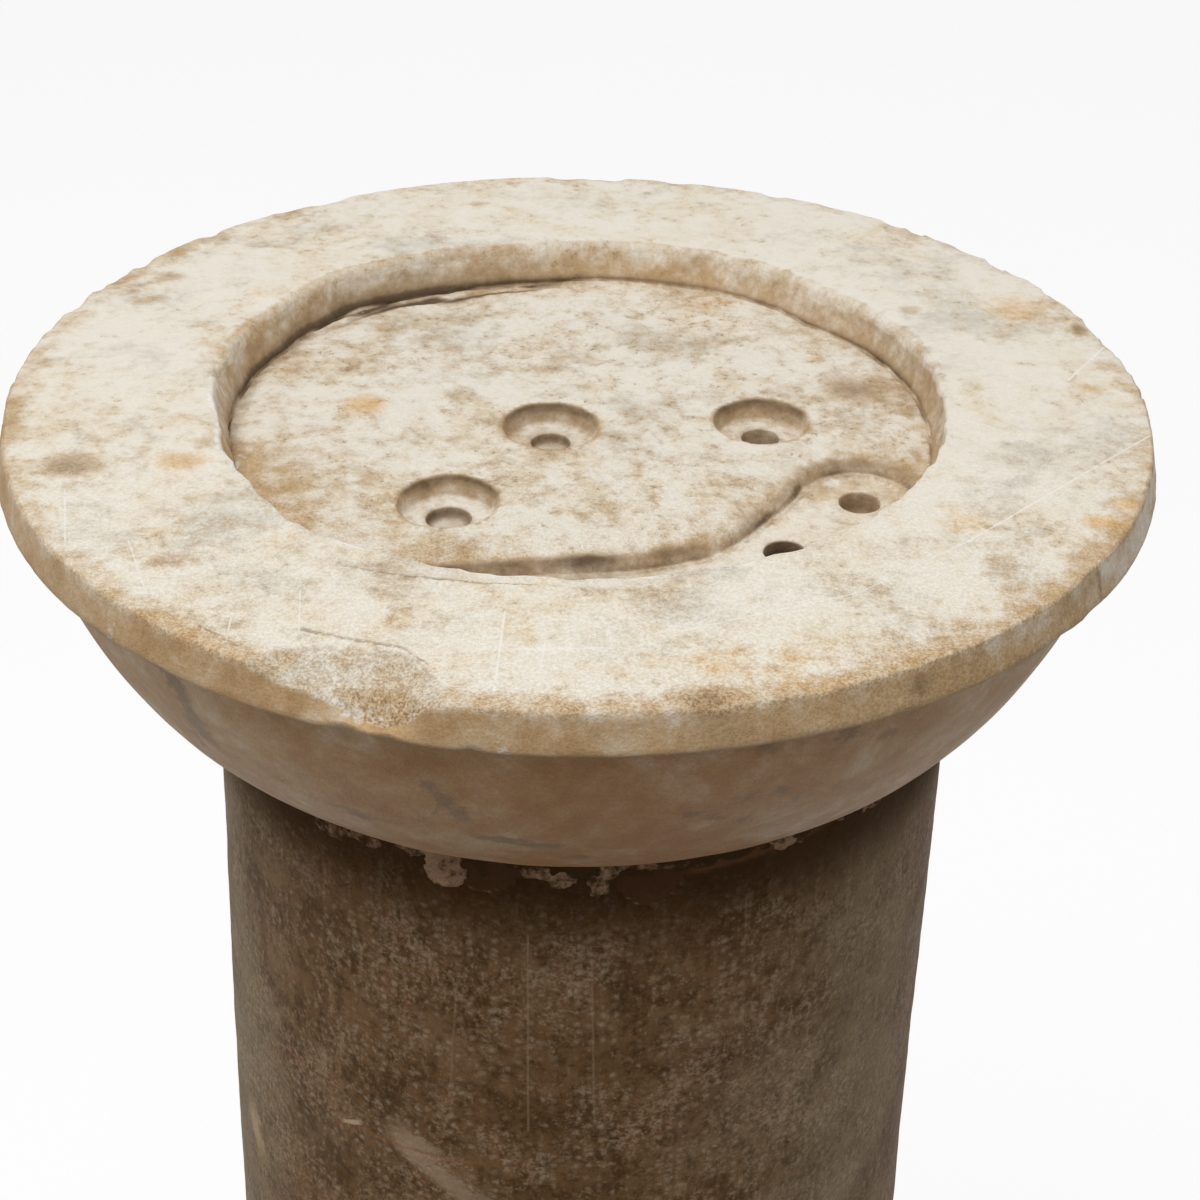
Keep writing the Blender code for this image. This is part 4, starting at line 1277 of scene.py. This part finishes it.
def shaftMaterial():
    sheet = Sheet(bpy.data.materials.new("pittedDarkStone"))
    at = sheet.places()
    paint = {name: sheet.painted(name) for name in ("broken", "brink", "dirtAndShade", "foot", "lichenAndSheen")}
    shifted = sheet.vector("ADD", at, (0.4, 0.9, 0.2))
    broad = sheet.noise(at, 85, 4, 0.55)
    clouds = sheet.noise(at, 26, 5, 0.6)
    drift = sheet.noise(shifted, 30, 5, 0.62, 0.6)
    mottle = sheet.noise(at, 6.0, 5, 0.68)
    fine = sheet.noise(shifted, 2.4, 4, 0.65)
    grain = sheet.noise(at, 1.1, 3, 0.6)
    upright = sheet.vector("MULTIPLY", at, (1.0, 1.0, 0.3))
    streak = sheet.noise(upright, 3.0, 4, 0.62)

    tone = sheet.between(clouds * 0.45 + mottle * 0.65, 0.44, 0.68)
    colour = sheet.mix(tone, darkStone["umber"], darkStone["base"])
    dark = sheet.between(fine * 0.6 + mottle * 0.3 + grain * 0.3, 0.58, 0.72)
    colour = sheet.mix(dark * 0.75, colour, darkStone["umber"])
    ash = sheet.between(streak * 0.5 + fine * 0.4 + drift * 0.35, 0.58, 0.78)
    colour = sheet.mix(ash * 0.55, colour, darkStone["ash"])
    rust = sheet.between(drift + (broad - 0.5) * 0.6 + (mottle - 0.5) * 0.4, 0.60, 0.76)
    colour = sheet.mix(rust * 0.4, colour, darkStone["rust"])

    # pale bruises left by the pick, in loose upright rows
    x, y, z = sheet.axes(at)
    around = sheet.maths("ARCTAN2", x, y * -1.0) * 140.0
    height = z * 1000 - rimHeight / mm
    wander = (mottle - 0.5) * 1.6
    cell = sheet.node("ShaderNodeCombineXYZ", {}, {0: around / 4.2 + wander, 1: height / 3.7 + wander * 0.5})
    spread = {"Vector": cell, "Scale": 1.0, "Randomness": 0.62}
    marks, tints = (sheet.node("ShaderNodeTexVoronoi", {"voronoi_dimensions": "2D"}, spread, out)
                    for out in ("Distance", "Color"))
    chance = sheet.node("ShaderNodeSeparateColor", {}, {0: tints})
    rowSpread = {"W": around, "Scale": 0.13, "Detail": 1.0}
    rowTint = sheet.node("ShaderNodeTexNoise", {"noise_dimensions": "1D"}, rowSpread)
    cover = drift * 0.8 + broad * 0.5 + (chance - 0.5) * 0.8 + (rowTint - 0.5) * 1.1
    cover = sheet.between(cover, 0.62, 1.08)
    peck = (1 - sheet.between(marks + (grain - 0.5) * 0.6 + (fine - 0.5) * 0.5, 0.05, 0.46)) * cover
    colour = sheet.mix(peck * 0.50, colour, darkStone["speck"])
    # olive patches on the shaft's sides: lichen, and a painted sheen
    patches = paint["lichenAndSheen"] + (broad - 0.5) * 1.3 + (clouds - 0.5) * 1.2 + (mottle - 0.5) * 0.5
    olive = sheet.between(patches, 0.15, 1.15)
    colour = sheet.mix(olive * 0.62, colour, darkStone["olive"])
    haze = sheet.between(grain * 0.5 + streak * 0.15 + fine * 0.45 + (drift - 0.5) * 0.4, 0.55, 0.74)
    colour = sheet.mix(haze * 0.36, colour, darkStone["speck"])
    grit = sheet.between(grain * 0.45 + fine * 0.55, 0.38, 0.62)
    grains = sheet.mix(grit, darkStone["darkGrain"], darkStone["paleGrain"])
    colour = sheet.mix(0.40, colour, grains, "SOFT_LIGHT")

    # the band under the capital is darkened with dirt and painted shade
    grimeAndShade = sheet.between(paint["dirtAndShade"] + (clouds - 0.5) * 0.5 + (fine - 0.5) * 0.4, 0.15, 1.0)
    colour = sheet.mix(grimeAndShade * 0.90, colour, darkStone["dirtAndShade"])

    for start, end, width, strength, tint in darkStone["marks"]:
        bend = (clouds - 0.5) * width * 1.2 + (mottle - 0.5) * width * 0.9
        ragged = (mottle - 0.5) * width * 1.6 + (fine - 0.5) * width * 1.1
        mark = lineMask(sheet, around + bend, height + bend * 0.7, start, end, width, ragged)
        colour = sheet.mix(mark * strength, colour, tint)

    fresh = sheet.between(paint["broken"] + (mottle - 0.5) * 0.4, 0.4, 0.7)
    colour = sheet.mix(fresh * 0.6, colour, darkStone["blush"])
    # a painted highlight along the brinks of the breaks
    brink = sheet.between(paint["brink"] + (mottle - 0.5) * 2.6 + (fine - 0.5) * 1.5, 0.6, 1.2)
    colour = sheet.mix(brink * paint["brink"] * 0.4, colour, darkStone["speck"])
    colour = sheet.mix(paint["foot"] * 0.25, colour, darkStone["ash"])

    roughness = sheet.clamped(0.58 + (mottle - 0.5) * 0.3 + grimeAndShade * 0.25 + fresh * 0.2)
    relief = mottle * 0.4 + fine * 0.35 + grain * 0.15 - peck * 0.25
    return sheet.finish(colour, roughness, 0.05, relief, 0.0012, 0.8)


mortarShades = {
    "grimy": (0.062, 0.033, 0.011),
    "pale": (0.43, 0.275, 0.165),
    "pit": (0.06, 0.04, 0.022),
}


def mortarMaterial():
    sheet = Sheet(bpy.data.materials.new("limeMortar"))
    at = sheet.places()
    pale = sheet.painted("pale")
    mottle = sheet.noise(at, 4.0, 5, 0.7)
    grain = sheet.noise(at, 0.9, 3, 0.7)
    clean = sheet.between(pale + (mottle - 0.5) * 2.4, 0.38, 1.15)
    colour = sheet.mix(clean, mortarShades["grimy"], mortarShades["pale"])
    pits = sheet.between(grain * 0.5 + mottle * 0.5, 0.54, 0.66)
    colour = sheet.mix(pits * 0.6, colour, mortarShades["pit"])
    return sheet.finish(colour, 0.95, 0.05, mottle * 0.6 + grain * 0.4, 0.0016, 0.9)


# Studio: a pale floor, a soft sky of light and one large lamp

studio = {
    "floorRadius": 14.0,
    "floorCorners": 96,
    "floorHeight": -0.0004,
    "floorColour": (0.40, 0.40, 0.40),
    "floorClouds": (0.42, 0.42, 0.42),
    "floorGlow": 0.682,
    "skyStrength": 0.60,
    "skySlant": (-0.14, -0.03, 1.0),  # the left side of the sky is a little brighter low down
    "skyFrom": -0.20,
    "skyTo": 0.22,
    "skyBelow": (0.13, 0.092, 0.062),  # the dim side of the sky, part of its strength
    "lampSize": 1.8,
    "lampAt": (-0.5, -0.6, 3.0),
    "lampPower": 23.0,
}


def makeFloor():
    reach, height = studio["floorRadius"], studio["floorHeight"]
    turn = [2 * math.pi * k / studio["floorCorners"] for k in range(studio["floorCorners"])]
    mesh = bpy.data.meshes.new("studioFloor")
    corners = [(reach * math.cos(a), reach * math.sin(a), height) for a in turn]
    mesh.from_pydata(corners, [], [list(range(len(corners)))])
    floor = bpy.data.objects.new("studioFloor", mesh)
    bpy.context.scene.collection.objects.link(floor)
    sheet = Sheet(bpy.data.materials.new("palePlaster"))
    soft = sheet.noise(sheet.places(), 900, 2, 0.5)
    colour = sheet.mix(soft * 0.2, studio["floorColour"], studio["floorClouds"])
    floor.data.materials.append(sheet.finish(colour, 0.95, 0.1))
    sheet.shader.inputs["Emission Color"].default_value = (1, 1, 1, 1)
    sheet.shader.inputs["Emission Strength"].default_value = studio["floorGlow"]
    floor.visible_diffuse = False


def makeSky():
    sky = Sheet(bpy.data.worlds.new("softSky"))
    bpy.context.scene.world = sky.owner
    slanted = {0: sky.node("ShaderNodeTexCoord", out="Generated"), 1: studio["skySlant"]}
    height = sky.node("ShaderNodeVectorMath", {"operation": "DOT_PRODUCT"}, slanted, "Value")
    reach = {"Value": height, "From Min": studio["skyFrom"], "From Max": studio["skyTo"]}
    level = sky.node("ShaderNodeMapRange", {}, reach)
    background = sky.tree.nodes["Background"]
    sky.plug(background.inputs["Color"], sky.mix(level, studio["skyBelow"], (1.0, 1.0, 1.0)))
    sky.plug(background.inputs["Strength"], studio["skyStrength"])


def makeLamp():
    lamp = bpy.data.lights.new("softLamp", "AREA")
    lamp.shape = "DISK"
    lamp.size = studio["lampSize"]
    lamp.energy = studio["lampPower"]
    lampObject = bpy.data.objects.new("softLamp", lamp)
    lampObject.location = studio["lampAt"]
    aim = Vector((0, 0, rimHeight)) - Vector(studio["lampAt"])
    lampObject.rotation_euler = aim.to_track_quat("-Z", "Y").to_euler()
    bpy.context.scene.collection.objects.link(lampObject)


view = {
    "focal": 2107.3,  # in pixels of the square picture
    "picture": 1200,
    "filmWidth": 36.0,
    "nearest": 0.01,
    "farthest": 60.0,
    "eye": (0.0, -0.6375, 0.3197),  # from the middle of the rim
    "pan": 0.7359,
    "tilt": 32.4505,
    "roll": -1.0851,
}


def makeCamera():
    data = bpy.data.cameras.new("photoCamera")
    data.sensor_width = view["filmWidth"]
    data.lens = view["focal"] / view["picture"] * data.sensor_width
    data.clip_start = view["nearest"]
    data.clip_end = view["farthest"]
    camera = bpy.data.objects.new("photoCamera", data)
    pan, tilt, roll = (math.radians(view[key]) for key in ("pan", "tilt", "roll"))
    ahead = Vector((math.sin(pan) * math.cos(tilt), math.cos(pan) * math.cos(tilt), -math.sin(tilt)))
    right = Vector((math.cos(pan), -math.sin(pan), 0.0))
    down = ahead.cross(right)
    turnedRight = math.cos(roll) * right + math.sin(roll) * down
    turnedDown = -math.sin(roll) * right + math.cos(roll) * down
    axes = Matrix((turnedRight, -turnedDown, -ahead)).transposed().to_4x4()
    eye = Vector(view["eye"]) + Vector((0, 0, rimHeight))
    camera.matrix_world = Matrix.Translation(eye) @ axes
    bpy.context.scene.collection.objects.link(camera)
    bpy.context.scene.camera = camera


def dress(piece, material, node):
    piece.data.materials.append(material)
    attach(piece, "root")
    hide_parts(node)


makeCamera()
makeFloor()
makeSky()
makeLamp()
print("camera, floor and light set")
dress(makeCapital(), marbleMaterial(), "capital")
dress(makeShaft(), shaftMaterial(), "shaft")
dress(makeMortar(), mortarMaterial(), "bed_mortar")
print("pieces dressed")

bpy.context.scene.view_settings.view_transform = "Standard"
bpy.context.scene.view_settings.look = "None"
